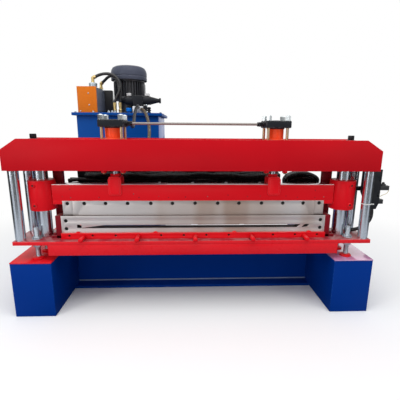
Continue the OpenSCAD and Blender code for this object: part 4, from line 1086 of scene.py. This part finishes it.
for z, end_x in ((switch_zs[0], high.x - 0.003), (switch_zs[1], high.x - 0.026)):
    bar(switches, (low.x + 0.010, low.y, z - 0.012), (end_x, high.y, z + 0.011), edge=0.0015)
    bar(switches, (end_x - 0.040, low.y + 0.002, z + 0.009), (end_x - 0.018, high.y - 0.002, z + 0.020), edge=0.002)
    for x in (end_x - 0.050, end_x - 0.010):
        turned(switches, pin_profile(0.003, 0.002, 0.0005), (x, low.y + 0.001, z + 0.004), axis=(0, -1, 0), sides=16)
    turned(levers, pin_profile(0.0065, 0.008, 0.001), (end_x - 0.030, low.y + 0.004, z + 0.023), axis=(0, 1, 0), sides=24)
piece(switches, "limit_switch_bodies", [switch_plastic], "frame", "black_plastic", "limit_switches")
piece(levers, "limit_switch_levers", [screw_black], "frame", "black_steel")
wire_yellow = surface("pale_wire", rubber_cover, {"Color": (0.62, 0.50, 0.22, 1), "Gloss": 0.35, "Dust": 0.1})
wire_x, wire_y = 1000 * high.x - 3, 1000 * low.y + 4
loop_line = smooth_line([(wire_x - 2, wire_y, 1000 * switch_zs[0] - 2), (wire_x + 1, wire_y, 1000 * switch_zs[0] - 12),
                         (wire_x - 3, wire_y, 1000 * switch_zs[0] - 24), (wire_x - 14, wire_y, 1000 * switch_zs[0] - 33),
                         (wire_x - 30, wire_y, 1000 * switch_zs[0] - 38), (wire_x - 42, wire_y, 1000 * switch_zs[0] - 46)], 0.003)
shown("switch_bridge_wire", tube_mesh("switch_bridge_wire", loop_line, lambda along: 0.0013, 10), [wire_yellow], "frame",
      sharp=80)
tie_white = surface("nylon_tie", rubber_cover, {"Color": (0.75, 0.75, 0.72, 1), "Gloss": 0.35, "Dust": 0.2})
band = new_solid()
turned(band, [(0.0241, 0), (0.0254, 0.0004), (0.0254, 0.0040), (0.0241, 0.0044), (0.0241, 0)], (0.858, -0.348, 0.574),
       sides=48)
bar(band, (0.877, -0.372, 0.5745), (0.884, -0.3655, 0.5795), edge=0.0008)
piece(band, "post_cable_tie", [tie_white], "frame", "tan_rubber")

# ---- Hose tray ----
# A black channel of folded sheet behind the cutter that holds the hoses; they are
# wrapped in black film that shines where it is stretched, with pale patches on it
# that are painted glints.
low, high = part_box("hose_tray")
tray = new_solid()
bar(tray, low, (high.x, high.y, low.z + 0.004), edge=0.0006)
bar(tray, low, (high.x, low.y + 0.004, high.z), edge=0.0006)
bar(tray, (low.x, high.y - 0.004, low.z), high, edge=0.0006)
piece(tray, "folded_hose_tray", [black_oxide], "frame", "black_steel", "hose_tray")
tray_top = high.z
# The film's Dust patches are pale glints: painted highlights on the crinkled film.
film = surface("stretch_film_painted_glints", rubber_cover, {"Color": (0.004, 0.004, 0.006, 1), "Gloss": 0.16, "Wrap": 1.6,
                                              "Dust": 0.25}, bump=1.0, depth=0.006, Specular_IOR_Level=0.3,
               Coat_Weight=0.3, Coat_Roughness=0.05)
low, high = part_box("hose_bundle")
mid_y, bundle_end = (low.y + high.y) / 2, 0.470
strands = bmesh.new()
lanes = [(-0.020, 0.690, 0.011, 0.4), (0.000, 0.693, 0.0115, 2.6), (0.020, 0.676, 0.011, 3.3), (0.018, 0.692, 0.010, 5.7),
         (-0.022, 0.616, 0.011, 0.1), (0.0, 0.617, 0.012, 1.3), (0.021, 0.616, 0.011, 2.2), (-0.017, 0.638, 0.012, 3.6),
         (0.010, 0.640, 0.013, 4.4), (-0.020, 0.662, 0.0105, 5.2), (0.004, 0.664, 0.012, 0.7), (0.020, 0.660, 0.010, 2.9),
         (-0.009, 0.686, 0.012, 1.9), (0.012, 0.688, 0.0115, 4.9)]
for y, z, radius, phase in lanes:
    left = -0.672 if z < 0.67 else -0.585
    lane = []
    for k in range(90):
        x = left + (bundle_end - 0.004 - left) * k / 89
        lane.append(Vector((x, mid_y + y + 0.0035 * math.sin(9 * x + phase) + 0.0015 * math.sin(31 * x + 2 * phase),
                            z + 0.0045 * math.sin(13 * x + 1.7 * phase) + 0.002 * math.sin(37 * x + phase))))
    wrapped = tube_mesh("lane", lane, lambda along, r=radius, p=phase: r * (
        1 + 0.10 * math.sin(along * 95 + p) * math.sin(along * 23 + 2 * p)), 14)
    strands.from_mesh(wrapped)
# The hump of spare hose that stands on the tray at its right
coil_x, coil_low, coil_high = 0.590, low.z, high.z
for k, (y, size) in enumerate((y, size) for y in (-0.022, 0.0, 0.022) for size in (1.0, 0.78, 0.56, 0.34)):
    radius = 0.0105
    half_w = 0.098 * size - radius
    rise = (coil_high - coil_low - 0.004) / 2 * size - radius
    ring = []
    for j in range(49):
        turn = 2 * math.pi * j / 48 + 0.4 * k
        ring.append(Vector((coil_x + 0.004 * (k % 3 - 1) * (1 - size) + half_w * math.cos(turn),
                            mid_y + y + 0.002 * math.sin(3 * turn + k),
                            coil_low + 0.003 + radius + rise + 0.010 * (1 - size) + rise * math.sin(turn))))
    strands.from_mesh(tube_mesh("turn", ring, lambda along: radius * (1 + 0.05 * math.sin(along * 120)), 12))
bundle_mesh = bpy.data.meshes.new("film_wrapped_hoses")
strands.to_mesh(bundle_mesh)
strands.free()
shown("film_wrapped_hoses", bundle_mesh, [film], "frame", ["hose_bundle"], sharp=80)
# A near-black sheet stood behind the hoses, filling the gap under the top beam: a dark sheet in place of the shade
# there, painted shade.
gap_sheet_painted_shade = surface("near_black_gap_sheet", rubber_cover, {"Color": (0.003, 0.003, 0.005, 1), "Dust": 0.02, "Gloss": 0.5},
                      Specular_IOR_Level=0.2)
sheet = bmesh.new()
columns, sheet_low, sheet_high = 80, tray_top - 0.020, beam_bottom - 0.004
for layer in (0.0, 0.003):
    rows = [[sheet.verts.new((-0.640 + 1.110 * i / columns, high.y + 0.0008 - 0.0035 + layer + 0.0012 * math.sin(i * 0.9 + j),
                              sheet_low + (sheet_high - sheet_low) * j / 6)) for i in range(columns + 1)] for j in range(7)]
    for lower, upper in zip(rows, rows[1:]):
        for i in range(columns):
            sheet.faces.new((lower[i], lower[i + 1], upper[i + 1], upper[i]))
    if layer == 0.0:
        front_rows = rows
rim = [row[0] for row in front_rows] + front_rows[-1][1:] + [row[-1] for row in front_rows[-2::-1]] + front_rows[0][-2:0:-1]
back = [row[0] for row in rows] + rows[-1][1:] + [row[-1] for row in rows[-2::-1]] + rows[0][-2:0:-1]
for i in range(len(rim)):
    sheet.faces.new((rim[i], rim[(i + 1) % len(rim)], back[(i + 1) % len(rim)], back[i]))
bmesh.ops.recalc_face_normals(sheet, faces=sheet.faces)
sheet_mesh = bpy.data.meshes.new("rubber_splash_sheet")
sheet.to_mesh(sheet_mesh)
sheet.free()
shown("rubber_splash_sheet", sheet_mesh, [gap_sheet_painted_shade], "frame", sharp=60)

# ---- Oil tank ----
# A tank of folded and welded 5 mm sheet on channel feet, powder coated blue, with an
# overhanging lid, a sight glass and a drain plug.
tank_coat = painted("tank_powder_coat", (0.0, 0.062, 0.30), sheen=0.08, Peel=600.0, Gloss=0.32, Wear=0.15)
# A paler blue copy of the powder coat, with a clear coat, for the tank's right side: a painted reflection of bright
# light.
tank_side_reflection_paint = painted("tank_side_painted_reflection", (0.0, 0.10, 0.50), sheen=0.2, coat=0.22, Peel=600.0, Gloss=0.25, Wear=0.15)
low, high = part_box("oil_tank")
tank = new_solid()
bar(tank, low, high, edge=0.006, rounds=3)
bar(tank, (low.x + 0.15, high.y - 0.001, low.z + 0.28), (high.x - 0.15, high.y + 0.006, high.z - 0.22), edge=0.002)
bar(tank, (low.x - 0.005, low.y + 0.2, low.z + 0.25), (low.x + 0.001, high.y - 0.2, high.z - 0.25), edge=0.002)
# Faces turned to +X take the painted reflection.
for face in tank.faces:
    if face.normal.x > 0.9:
        face.material_index = 1
piece(tank, "oil_tank_shell", [tank_coat, tank_side_reflection_paint], "frame", "tank_blue", "oil_tank")
hand_bolts = new_solid()
hexagon(hand_bolts, (0, 0, 0), 0.013, 0.006, axis=(0, 1, 0))
cover_low, cover_high = (low.x + 0.17, low.z + 0.30), (high.x - 0.17, high.z - 0.24)
cover_bolts = [(x, high.y + 0.0058, z) for x in (cover_low[0], (cover_low[0] + cover_high[0]) / 2, cover_high[0])
               for z in (cover_low[1], (cover_low[1] + cover_high[1]) / 2, cover_high[1])
               if not (x == (cover_low[0] + cover_high[0]) / 2 and z == (cover_low[1] + cover_high[1]) / 2)]
repeated("hatch_bolts", cover_bolts, hand_bolts, pale_screw, "frame", axis=(0, 1, 0), spread=1.0)
plug = new_solid()
hexagon(plug, (high.x - 0.06, high.y - 0.001, low.z + 0.05), 0.024, 0.012, axis=(0, 1, 0))
piece(plug, "drain_plug", [galvanised], "frame", "zinc_steel")
feet_low, feet_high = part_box("tank_feet")
feet = new_solid()
for x in (feet_low.x, feet_high.x - 0.060):
    bar(feet, (x, feet_low.y, feet_low.z), (x + 0.060, feet_high.y, feet_low.z + 0.008), edge=0.0015)
    bar(feet, (x, feet_low.y, feet_high.z - 0.008), (x + 0.060, feet_high.y, feet_high.z), edge=0.0015)
    bar(feet, (x + 0.006, feet_low.y + 0.004, feet_low.z + 0.006), (x + 0.054, feet_high.y - 0.004, feet_high.z - 0.006),
        edge=0.0015)
piece(feet, "tank_channel_feet", [tank_coat], "frame", "tank_blue", "tank_feet")
low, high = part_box("tank_lid")
lid = new_solid()
bar(lid, low, high, edge=0.003, rounds=3)
piece(lid, "tank_lid_plate", [tank_coat], "frame", "tank_blue", "tank_lid")
lid_top = high.z
lid_bolts = new_solid()
hexagon(lid_bolts, (0, 0, 0.0015), 0.013, 0.0065)
turned(lid_bolts, pin_profile(0.0095, 0.0018, 0.0004), (0, 0, 0), sides=24)
lid_edge = [(x, y, lid_top - 0.0003) for x in (low.x + 0.013, high.x - 0.013)
            for y in (low.y + 0.05, (low.y + high.y) / 2, high.y - 0.05)]
lid_edge += [(x, y, lid_top - 0.0003) for y in (low.y + 0.013, high.y - 0.013) for x in (low.x + 0.15, high.x - 0.15)]
repeated("lid_bolts", lid_edge, lid_bolts, pale_screw, "frame", axis=(0, 0, 1), spread=1.0, seed=8)

# ---- Oil cooler ----
# A finned cooler with an orange front plate and grey sides, and a black fan behind it;
# a breather and two hose elbows stand on it.
orange_coat = painted("orange_enamel", (0.66, 0.165, 0.012), Gloss=0.34, Wear=0.2, Peel=500.0)
grey_coat = painted("cooler_grey", (0.17, 0.19, 0.24), Gloss=0.38, Wear=0.2)
low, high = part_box("oil_cooler")
face = new_solid()
bar(face, low, (high.x, low.y + 0.012, high.z), edge=0.0025, rounds=3)
piece(face, "cooler_front_plate", [orange_coat], "frame", "orange_paint", "oil_cooler")
core = new_solid()
bar(core, (low.x + 0.002, low.y + 0.0115, low.z), (high.x - 0.002, high.y, high.z - 0.003), edge=0.002)
for k in range(9):
    y = low.y + 0.030 + 0.024 * k
    bar(core, (high.x - 0.003, y, low.z + 0.02), (high.x - 0.0005, y + 0.010, high.z - 0.02), edge=0.0004)
    bar(core, (low.x + 0.0005, y, low.z + 0.02), (low.x + 0.003, y + 0.010, high.z - 0.02), edge=0.0004)
piece(core, "cooler_core", [grey_coat], "frame", "motor_grey")
rivet = new_solid()
turned(rivet, [(0, 0), (0.0065, 0), (0.0062, 0.0015), (0.004, 0.0035), (0, 0.0042)], (0, 0.0003, 0), axis=(0, -1, 0),
       sides=20)
repeated("cooler_face_screws", [(low.x + 0.078, low.y, high.z - 0.046), (low.x + 0.080, low.y, low.z + 0.052),
                                (low.x + 0.018, low.y, low.z + 0.010), (high.x - 0.030, low.y, low.z + 0.008)],
         rivet, pale_screw, "frame", spread=1.0, smallest=0.7)
low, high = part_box("cooler_fan")
fan_plastic = surface("fan_plastic", sprayed_coat, {
    "Color": (0.014, 0.014, 0.016, 1), "Peel": 700.0, "Gloss": 0.42, "Dust": 0.35, "Wear": 0.1,
    "Bare": (0.1, 0.1, 0.1, 1)}, bump=0.2)
fan = new_solid()
fan_mid = Vector(((low.x + high.x) / 2, 0, (low.z + high.z) / 2))
bar(fan, (low.x, low.y, low.z), (high.x, high.y - 0.03, high.z + 0.016), edge=0.006, rounds=3)
turned(fan, [(0.030, 0), (0.076, 0), (0.078, 0.002), (0.078, 0.022), (0.072, 0.026), (0.070, 0.024), (0.070, 0.004),
             (0.030, 0.004), (0.030, 0)], (fan_mid.x, high.y - 0.031, fan_mid.z), axis=(0, 1, 0), sides=48)
turned(fan, pin_profile(0.032, 0.018, 0.004), (fan_mid.x, high.y - 0.031, fan_mid.z), axis=(0, 1, 0), sides=32)
for ring_r in (0.040, 0.050, 0.060, 0.069):
    turned(fan, [(ring_r - 0.001, 0), (ring_r + 0.001, 0), (ring_r + 0.001, 0.002), (ring_r - 0.001, 0.002),
                 (ring_r - 0.001, 0)], (fan_mid.x, high.y - 0.008, fan_mid.z), axis=(0, 1, 0), sides=48)
for k in range(6):
    turn = math.pi * k / 6
    reach = Vector((math.cos(turn), 0, math.sin(turn))) * 0.071
    turned(fan, pin_profile(0.0012, 0.142, 0.0003), (fan_mid.x - reach.x, high.y - 0.0085, fan_mid.z - reach.z),
           axis=(math.cos(turn), 0, math.sin(turn)), sides=8)
piece(fan, "cooler_fan_box", [fan_plastic], "frame", "black_plastic", "cooler_fan")

# ---- Pump motor ----
# A flange motor that stands on its bell housing, with a finned black body, a terminal
# box and a pressed steel fan cover in grey hammer finish.
motor_black = painted("motor_black", (0.022, 0.024, 0.030), sheen=0.6, Bare=(0.18, 0.18, 0.19, 1), Gloss=0.34, Peel=250.0, bump=0.35)
motor_grey = painted("motor_cover_grey", (0.072, 0.080, 0.112), Gloss=0.30, Peel=220.0, Wear=0.15, bump=0.3)
motor_x, motor_y = -0.475, 0.700
low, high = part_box("pump_motor")
bell_h, body_r = 0.110, 0.116
motor = new_solid()
turned(motor, [(0, 0), (0.084, 0), (0.085, 0.002), (0.085, 0.014), (0.074, 0.018), (0.070, 0.060), (0.080, 0.092),
               (0.1145, 0.096), (0.1155, 0.098), (0.1155, bell_h + 0.008), (0.1145, bell_h + 0.010), (0.097, bell_h + 0.011),
               (0.097, high.z - low.z - 0.012), (0.112, high.z - low.z - 0.010), (0.113, high.z - low.z),
               (0, high.z - low.z)], (motor_x, motor_y, low.z), sides=96)
bar(motor, (motor_x + 0.085, motor_y - 0.045, low.z + bell_h + 0.02), (motor_x + 0.1155, motor_y + 0.045, high.z - 0.02),
    edge=0.004)
piece(motor, "motor_body", [motor_black], "frame", "motor_black", "pump_motor")
fins = bpy.data.node_groups.new("ring_of_fins", "GeometryNodeTree")
for label, kind in (("Geometry", "Geometry"), ("Count", "Int"), ("Radius", "Float"), ("Depth", "Float"),
                    ("Thickness", "Float"), ("Height", "Float"), ("Centre", "Vector"), ("Finish", "Material")):
    fins.interface.new_socket(label, in_out="INPUT", socket_type="NodeSocket" + kind)
fins.interface.new_socket("Geometry", in_out="OUTPUT", socket_type="NodeSocketGeometry")
asked = put(fins, "NodeGroupInput").outputs
round_points = put(fins, "GeometryNodeMeshCircle", {"Vertices": asked["Count"], "Radius": asked["Radius"]})
spot = put(fins, "ShaderNodeSeparateXYZ", {0: put(fins, "GeometryNodeInputPosition").outputs[0]}).outputs
facing = put(fins, "ShaderNodeMath", {0: spot["Y"], 1: spot["X"]}, operation="ARCTAN2").outputs[0]
blade_size = put(fins, "ShaderNodeCombineXYZ", {0: asked["Depth"], 1: asked["Thickness"], 2: asked["Height"]}).outputs[0]
ring = put(fins, "GeometryNodeInstanceOnPoints", {
    "Points": round_points.outputs[0], "Instance": put(fins, "GeometryNodeMeshCube", {"Size": blade_size}).outputs[0],
    "Rotation": put(fins, "ShaderNodeCombineXYZ", {2: facing}).outputs[0]})
set_down = put(fins, "GeometryNodeTransform", {
    "Geometry": put(fins, "GeometryNodeRealizeInstances", {"Geometry": ring.outputs[0]}).outputs[0],
    "Translation": asked["Centre"]})
put(fins, "NodeGroupOutput", {"Geometry": put(fins, "GeometryNodeSetMaterial", {
    "Geometry": set_down.outputs[0], "Material": asked["Finish"]}).outputs[0]})
fin_h = high.z - low.z - bell_h - 0.024
fin_mesh = grown("motor_fins", bpy.data.meshes.new("motor_fins_carrier"), fins, {
    "Count": 36, "Radius": 0.1050, "Depth": 0.021, "Thickness": 0.0040, "Height": fin_h,
    "Centre": (motor_x, motor_y, low.z + bell_h + 0.011 + fin_h / 2), "Finish": motor_black})
shown("motor_fins", fin_mesh, [motor_black], "frame")
low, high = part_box("motor_fan_cover")
cover_r, cover_h = (high.x - low.x) / 2, high.z - low.z
cover = new_solid()
turned(cover, [(cover_r - 0.0025, 0), (cover_r - 0.0005, 0), (cover_r, 0.0012), (cover_r, 0.022), (cover_r - 0.0015, 0.024),
               (cover_r - 0.0015, 0.030), (cover_r, 0.032), (cover_r, cover_h - 0.046), (cover_r - 0.004, cover_h - 0.028),
               (cover_r - 0.014, cover_h - 0.012), (cover_r - 0.030, cover_h - 0.003), (cover_r - 0.048, cover_h),
               (0.050, cover_h), (0.049, cover_h - 0.003), (0, cover_h - 0.003)], (motor_x, motor_y, low.z), sides=96)
piece(cover, "motor_fan_cowl", [motor_grey], "frame", "motor_grey", "motor_fan_cover", sharp=25)
vent_mesh = grown("cowl_vents", bpy.data.meshes.new("vents_carrier"), fins, {
    "Count": 40, "Radius": 0.066, "Depth": 0.022, "Thickness": 0.0042, "Height": 0.0008,
    "Centre": (motor_x, motor_y, high.z - 0.0001), "Finish": screw_black})
shown("cowl_vents", vent_mesh, [screw_black], "frame")

# ---- Valve block ----
# A milled manifold with a black directional valve across it, two coils with pale
# plugs, an adjusting knob and a blue filter bowl.
low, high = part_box("valve_block")
block_x, block_y, solenoid_z = -0.395, 0.585, 1.132
milled = bare_metal("milled_aluminium", (0.50, 0.51, 0.53), Stretch=(300, 20, 20), Gloss=0.34, Stained=0.3,
                    Stain=(0.3, 0.3, 0.31, 1), Mottle=20.0)
manifold = new_solid()
bar(manifold, (block_x - 0.038, 0.545, lid_top), (block_x + 0.038, 0.625, 1.090), edge=0.002)
for x, z in ((-0.395, 1.086), (-0.365, 1.066)):
    hexagon(manifold, (x, 0.5455, z), 0.024, 0.010, axis=(0, -1, 0))
piece(manifold, "valve_manifold", [milled], "frame", "manifold_steel", "valve_block")
valve = new_solid()
bar(valve, (block_x - 0.036, 0.553, 1.086), (block_x + 0.036, 0.617, 1.166), edge=0.003)
for side, reach in ((-1, 0.100), (1, 0.128)):
    turned(valve, [(0, 0), (0.0285, 0), (0.0300, 0.002), (0.0300, 0.052), (0.0275, 0.056), (0.0145, reach - 0.020),
                   (0.0140, reach - 0.014), (0.0185, reach - 0.012), (0.0185, reach - 0.002), (0.0165, reach), (0, reach)],
           (block_x + side * 0.036, block_y, solenoid_z), axis=(side, 0, 0), sides=40)
    bar(valve, (block_x + side * 0.066 - 0.017, block_y - 0.015, solenoid_z + 0.015),
        (block_x + side * 0.066 + 0.017, block_y + 0.015, solenoid_z + 0.032), edge=0.002)
turned(valve, [(0, 0), (0.013, 0), (0.013, 0.010), (0.009, 0.012), (0.009, 0.016), (0.015, 0.018), (0.015, 0.026),
               (0.010, 0.028), (0.010, 0.032), (0.014, 0.034), (0.014, 0.042), (0.008, 0.046), (0, 0.046)],
       (-0.318, 0.575, lid_top), sides=32)
bar(valve, (block_x + 0.030, 0.560, 1.060), (block_x + 0.062, 0.612, 1.098), edge=0.003)
piece(valve, "directional_valve", [cap_black], "frame", "black_steel")
gauge = new_solid()
turned(gauge, pin_profile(0.0045, 0.062, 0.001), (-0.336, 0.572, lid_top), sides=20)
hexagon(gauge, (-0.336, 0.572, lid_top), 0.017, 0.010)
hexagon(gauge, (-0.336, 0.572, lid_top + 0.052), 0.015, 0.012)
for x in (-0.590, -0.565, -0.545):
    hexagon(gauge, (x, 0.480, lid_top), 0.018, 0.008, turn=x * 40)
    turned(gauge, pin_profile(0.0055, 0.016, 0.001), (x, 0.480, lid_top), sides=20)
piece(gauge, "gauge_pipe_and_studs", [galvanised], "frame", "zinc_steel")
filter_blue = painted("filter_blue", (0.0, 0.16, 0.62), Gloss=0.3)
bowl = new_solid()
turned(bowl, [(0, 0), (0.019, 0), (0.021, 0.003), (0.021, 0.020), (0.018, 0.026), (0, 0.026)], (-0.462, 0.560, lid_top + 0.012),
       sides=32)
turned(bowl, pin_profile(0.010, 0.014, 0.001), (-0.462, 0.560, lid_top), sides=24)
piece(bowl, "filter_bowl", [filter_blue], "frame", "tank_blue")
plug_pale = surface("plug_plastic", sprayed_coat, {
    "Color": (0.62, 0.62, 0.62, 1), "Peel": 800.0, "Gloss": 0.4, "Dust": 0.2, "Wear": 0.1,
    "Bare": (0.4, 0.4, 0.4, 1)}, bump=0.15)
plugs = new_solid()
for side in (-1, 1):
    x = block_x + side * 0.066
    bar(plugs, (x - 0.016, block_y - 0.014, solenoid_z + 0.0315), (x + 0.016, block_y + 0.014, solenoid_z + 0.050), edge=0.0025)
    turned(plugs, pin_profile(0.0045, 0.003, 0.0006), (x, block_y, solenoid_z + 0.0495), sides=16)
piece(plugs, "coil_plugs", [plug_pale], "frame", "manifold_steel")

# ---- Hose fittings ----
# Brass elbows and crimped ends that the cooler hoses are screwed on with, a steel
# breather under the first elbow, and the conduit's gland.
cooler_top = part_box("oil_cooler")[1].z
fittings = new_solid()
for route, crimp_l in ((cooler_route, 0.022), (cooler_return_route, 0.004)):
    start, after = Vector(route[0]) / 1000, Vector(route[1]) / 1000
    toward = (after - start).normalized()
    foot = start - 0.024 * toward
    hexagon(fittings, (foot.x, foot.y, cooler_top + 0.002), 0.026, 0.012, turn=0.5)
    turned(fittings, pin_profile(0.0105, foot.z - cooler_top + 0.006, 0.002), (foot.x, foot.y, cooler_top), sides=32)
    turned(fittings, [(0, -0.004), (0.0105, -0.003), (0.0105, 0.006), (0.0128, 0.007), (0.0128, 0.015), (0.0118, 0.016),
                      (0.0122, 0.022), (0.0112, 0.024), (0, 0.024)], foot, axis=toward, sides=32)
    end = Vector(route[-1]) / 1000
    h = end.z - lid_top
    turned(fittings, [(0, 0), (0.0125, 0), (0.0125, 0.012), (0.0095, 0.014), (0.0095, h - 0.028), (0.0115, h - 0.026),
                      (0.0125, h - 0.020), (0.0118, h - 0.014), (0.0125, h - 0.008), (0.0132, h),
                      (0.0132, h + crimp_l), (0.0105, h + crimp_l + 0.001), (0.0104, h), (0, h)],
           (end.x, end.y, lid_top), sides=32)
    hexagon(fittings, (end.x, end.y, lid_top + 0.014), 0.024, 0.012, turn=0.2)
piece(fittings, "brass_hose_fittings", [brass], "frame", "brass_fittings", "hose_fittings")
start = Vector(cooler_route[0]) / 1000
toward = (Vector(cooler_route[1]) / 1000 - start).normalized()
foot = start - 0.024 * toward
breather = new_solid()
turned(breather, [(0, 0), (0.022, 0), (0.028, 0.002), (0.028, 0.009), (0.0265, 0.010), (0.0265, 0.012), (0.028, 0.013),
                  (0.028, 0.021), (0.025, 0.025), (0.012, 0.026), (0, 0.026)], (foot.x, foot.y, cooler_top), sides=48)
piece(breather, "steel_breather", [galvanised], "frame", "zinc_steel")
end = Vector(conduit_route[-1]) / 1000
gland = new_solid()
bar(gland, (end.x - 0.026, end.y - 0.013, plate_top), (end.x, end.y + 0.013, plate_top + 0.026), edge=0.003)
piece(gland, "conduit_gland", [switch_plastic], "frame", "black_plastic")

# ---- Studio ----
# A floor that the camera sees pale, but that bounced and reflected light sees near
# black under the machine, a painted shade, and grey further out; plain soft light: one
# large lamp above, two tall ones in front that the chrome mirrors, and grey cards that
# only reflections see.
floor_mesh = bpy.data.meshes.new("floor")
floor_mesh.from_pydata([(-40, -40, 0), (40, -40, 0), (40, 40, 0), (-40, 40, 0)], [], [(0, 1, 2, 3)])
floor = bpy.data.objects.new("floor", floor_mesh)
scene.collection.objects.link(floor)
floor_paint = bpy.data.materials.new("floor_paint")
floor_paint.use_nodes = True
tree = floor_paint.node_tree
matte = tree.nodes["Principled BSDF"]
matte.inputs["Roughness"].default_value = 0.8
matte.inputs["Specular IOR Level"].default_value = 0.0
by_camera = put(tree, "ShaderNodeLightPath").outputs["Is Camera Ray"]
reach = put(tree, "ShaderNodeVectorMath", {0: put(tree, "ShaderNodeTexCoord").outputs["Object"]},
            operation="LENGTH").outputs[1]
# Bounced and reflected rays see the floor near black within 0.6 m of the middle and grey from 1 m out: painted shade
# under the machine.
floor_shade_for_bounces = tinted(tree, ramp(tree, reach, 0.6, 1.0), (0.05, 0.055, 0.06, 1), (0.44, 0.46, 0.50, 1))
tree.links.new(tinted(tree, by_camera, floor_shade_for_bounces, (0.98, 0.98, 0.98, 1)), matte.inputs["Base Color"])
blank = put(tree, "ShaderNodeEmission", {"Color": (1, 1, 1, 1), "Strength": 1.0})
fade = sums(tree, "MULTIPLY", ramp(tree, reach, 1.0, 2.6), by_camera)
faded = put(tree, "ShaderNodeMixShader", {0: fade, 1: matte.outputs[0], 2: blank.outputs[0]})
tree.links.new(faded.outputs[0], tree.nodes["Material Output"].inputs["Surface"])
floor_mesh.materials.append(floor_paint)
world = bpy.data.worlds.new("studio")
scene.world = world
world.use_nodes = True
tree = world.node_tree
soft = tree.nodes["Background"]
soft.inputs["Color"].default_value = (0.95, 0.97, 1.0, 1)
soft.inputs["Strength"].default_value = 0.55
seen = put(tree, "ShaderNodeBackground", {"Color": (1, 1, 1, 1), "Strength": 1.0})
path = put(tree, "ShaderNodeLightPath").outputs
direct = sums(tree, "MAXIMUM", sums(tree, "MAXIMUM", path["Is Camera Ray"], path["Is Glossy Ray"]),
              path["Is Transmission Ray"])
both = put(tree, "ShaderNodeMixShader", {0: direct, 1: soft.outputs[0], 2: seen.outputs[0]})
tree.links.new(both.outputs[0], tree.nodes["World Output"].inputs["Surface"])
for name, place, aim, width, height, watts in (
        ("lamp_above", (0, -1.2, 3.6), (0, 0, 0.6), 3.6, 2.6, 80),
        ("lamp_left", (-2.9, -2.6, 1.5), (-0.2, -0.2, 0.6), 0.9, 2.4, 26),
        ("lamp_right", (2.9, -2.6, 1.5), (0.2, -0.2, 0.6), 0.9, 2.4, 9),
        ("lamp_front", (-0.4, -3.6, 0.45), (0, -0.3, 0.5), 2.6, 0.7, 14)):
    data = bpy.data.lights.new(name, "AREA")
    data.shape, data.size, data.size_y, data.energy = "RECTANGLE", width, height, watts
    lamp = bpy.data.objects.new(name, data)
    lamp.location = place
    lamp.rotation_euler = (Vector(aim) - Vector(place)).to_track_quat("-Z", "Y").to_euler()
    scene.collection.objects.link(lamp)
card_grey = bpy.data.materials.new("card_grey")
card_grey.use_nodes = True
card_grey.node_tree.nodes["Principled BSDF"].inputs["Base Color"].default_value = (0.03, 0.03, 0.03, 1)
card_grey.node_tree.nodes["Principled BSDF"].inputs["Roughness"].default_value = 1.0
for name, a, b, top in (("card_front", (-1.3, -2.3), (1.3, -2.3), 1.9), ("card_left", (-2.4, -1.6), (-2.4, 1.4), 1.5),
                        ("card_right", (2.4, 1.4), (2.4, -1.6), 1.5)):
    mesh = bpy.data.meshes.new(name)
    mesh.from_pydata([(*a, 0.001), (*b, 0.001), (*b, top), (*a, top)], [], [(0, 1, 2, 3)])
    mesh.materials.append(card_grey)
    card = bpy.data.objects.new(name, mesh)
    scene.collection.objects.link(card)
    card.visible_camera = card.visible_diffuse = card.visible_shadow = card.visible_transmission = False
scene.view_settings.view_transform = "Standard"
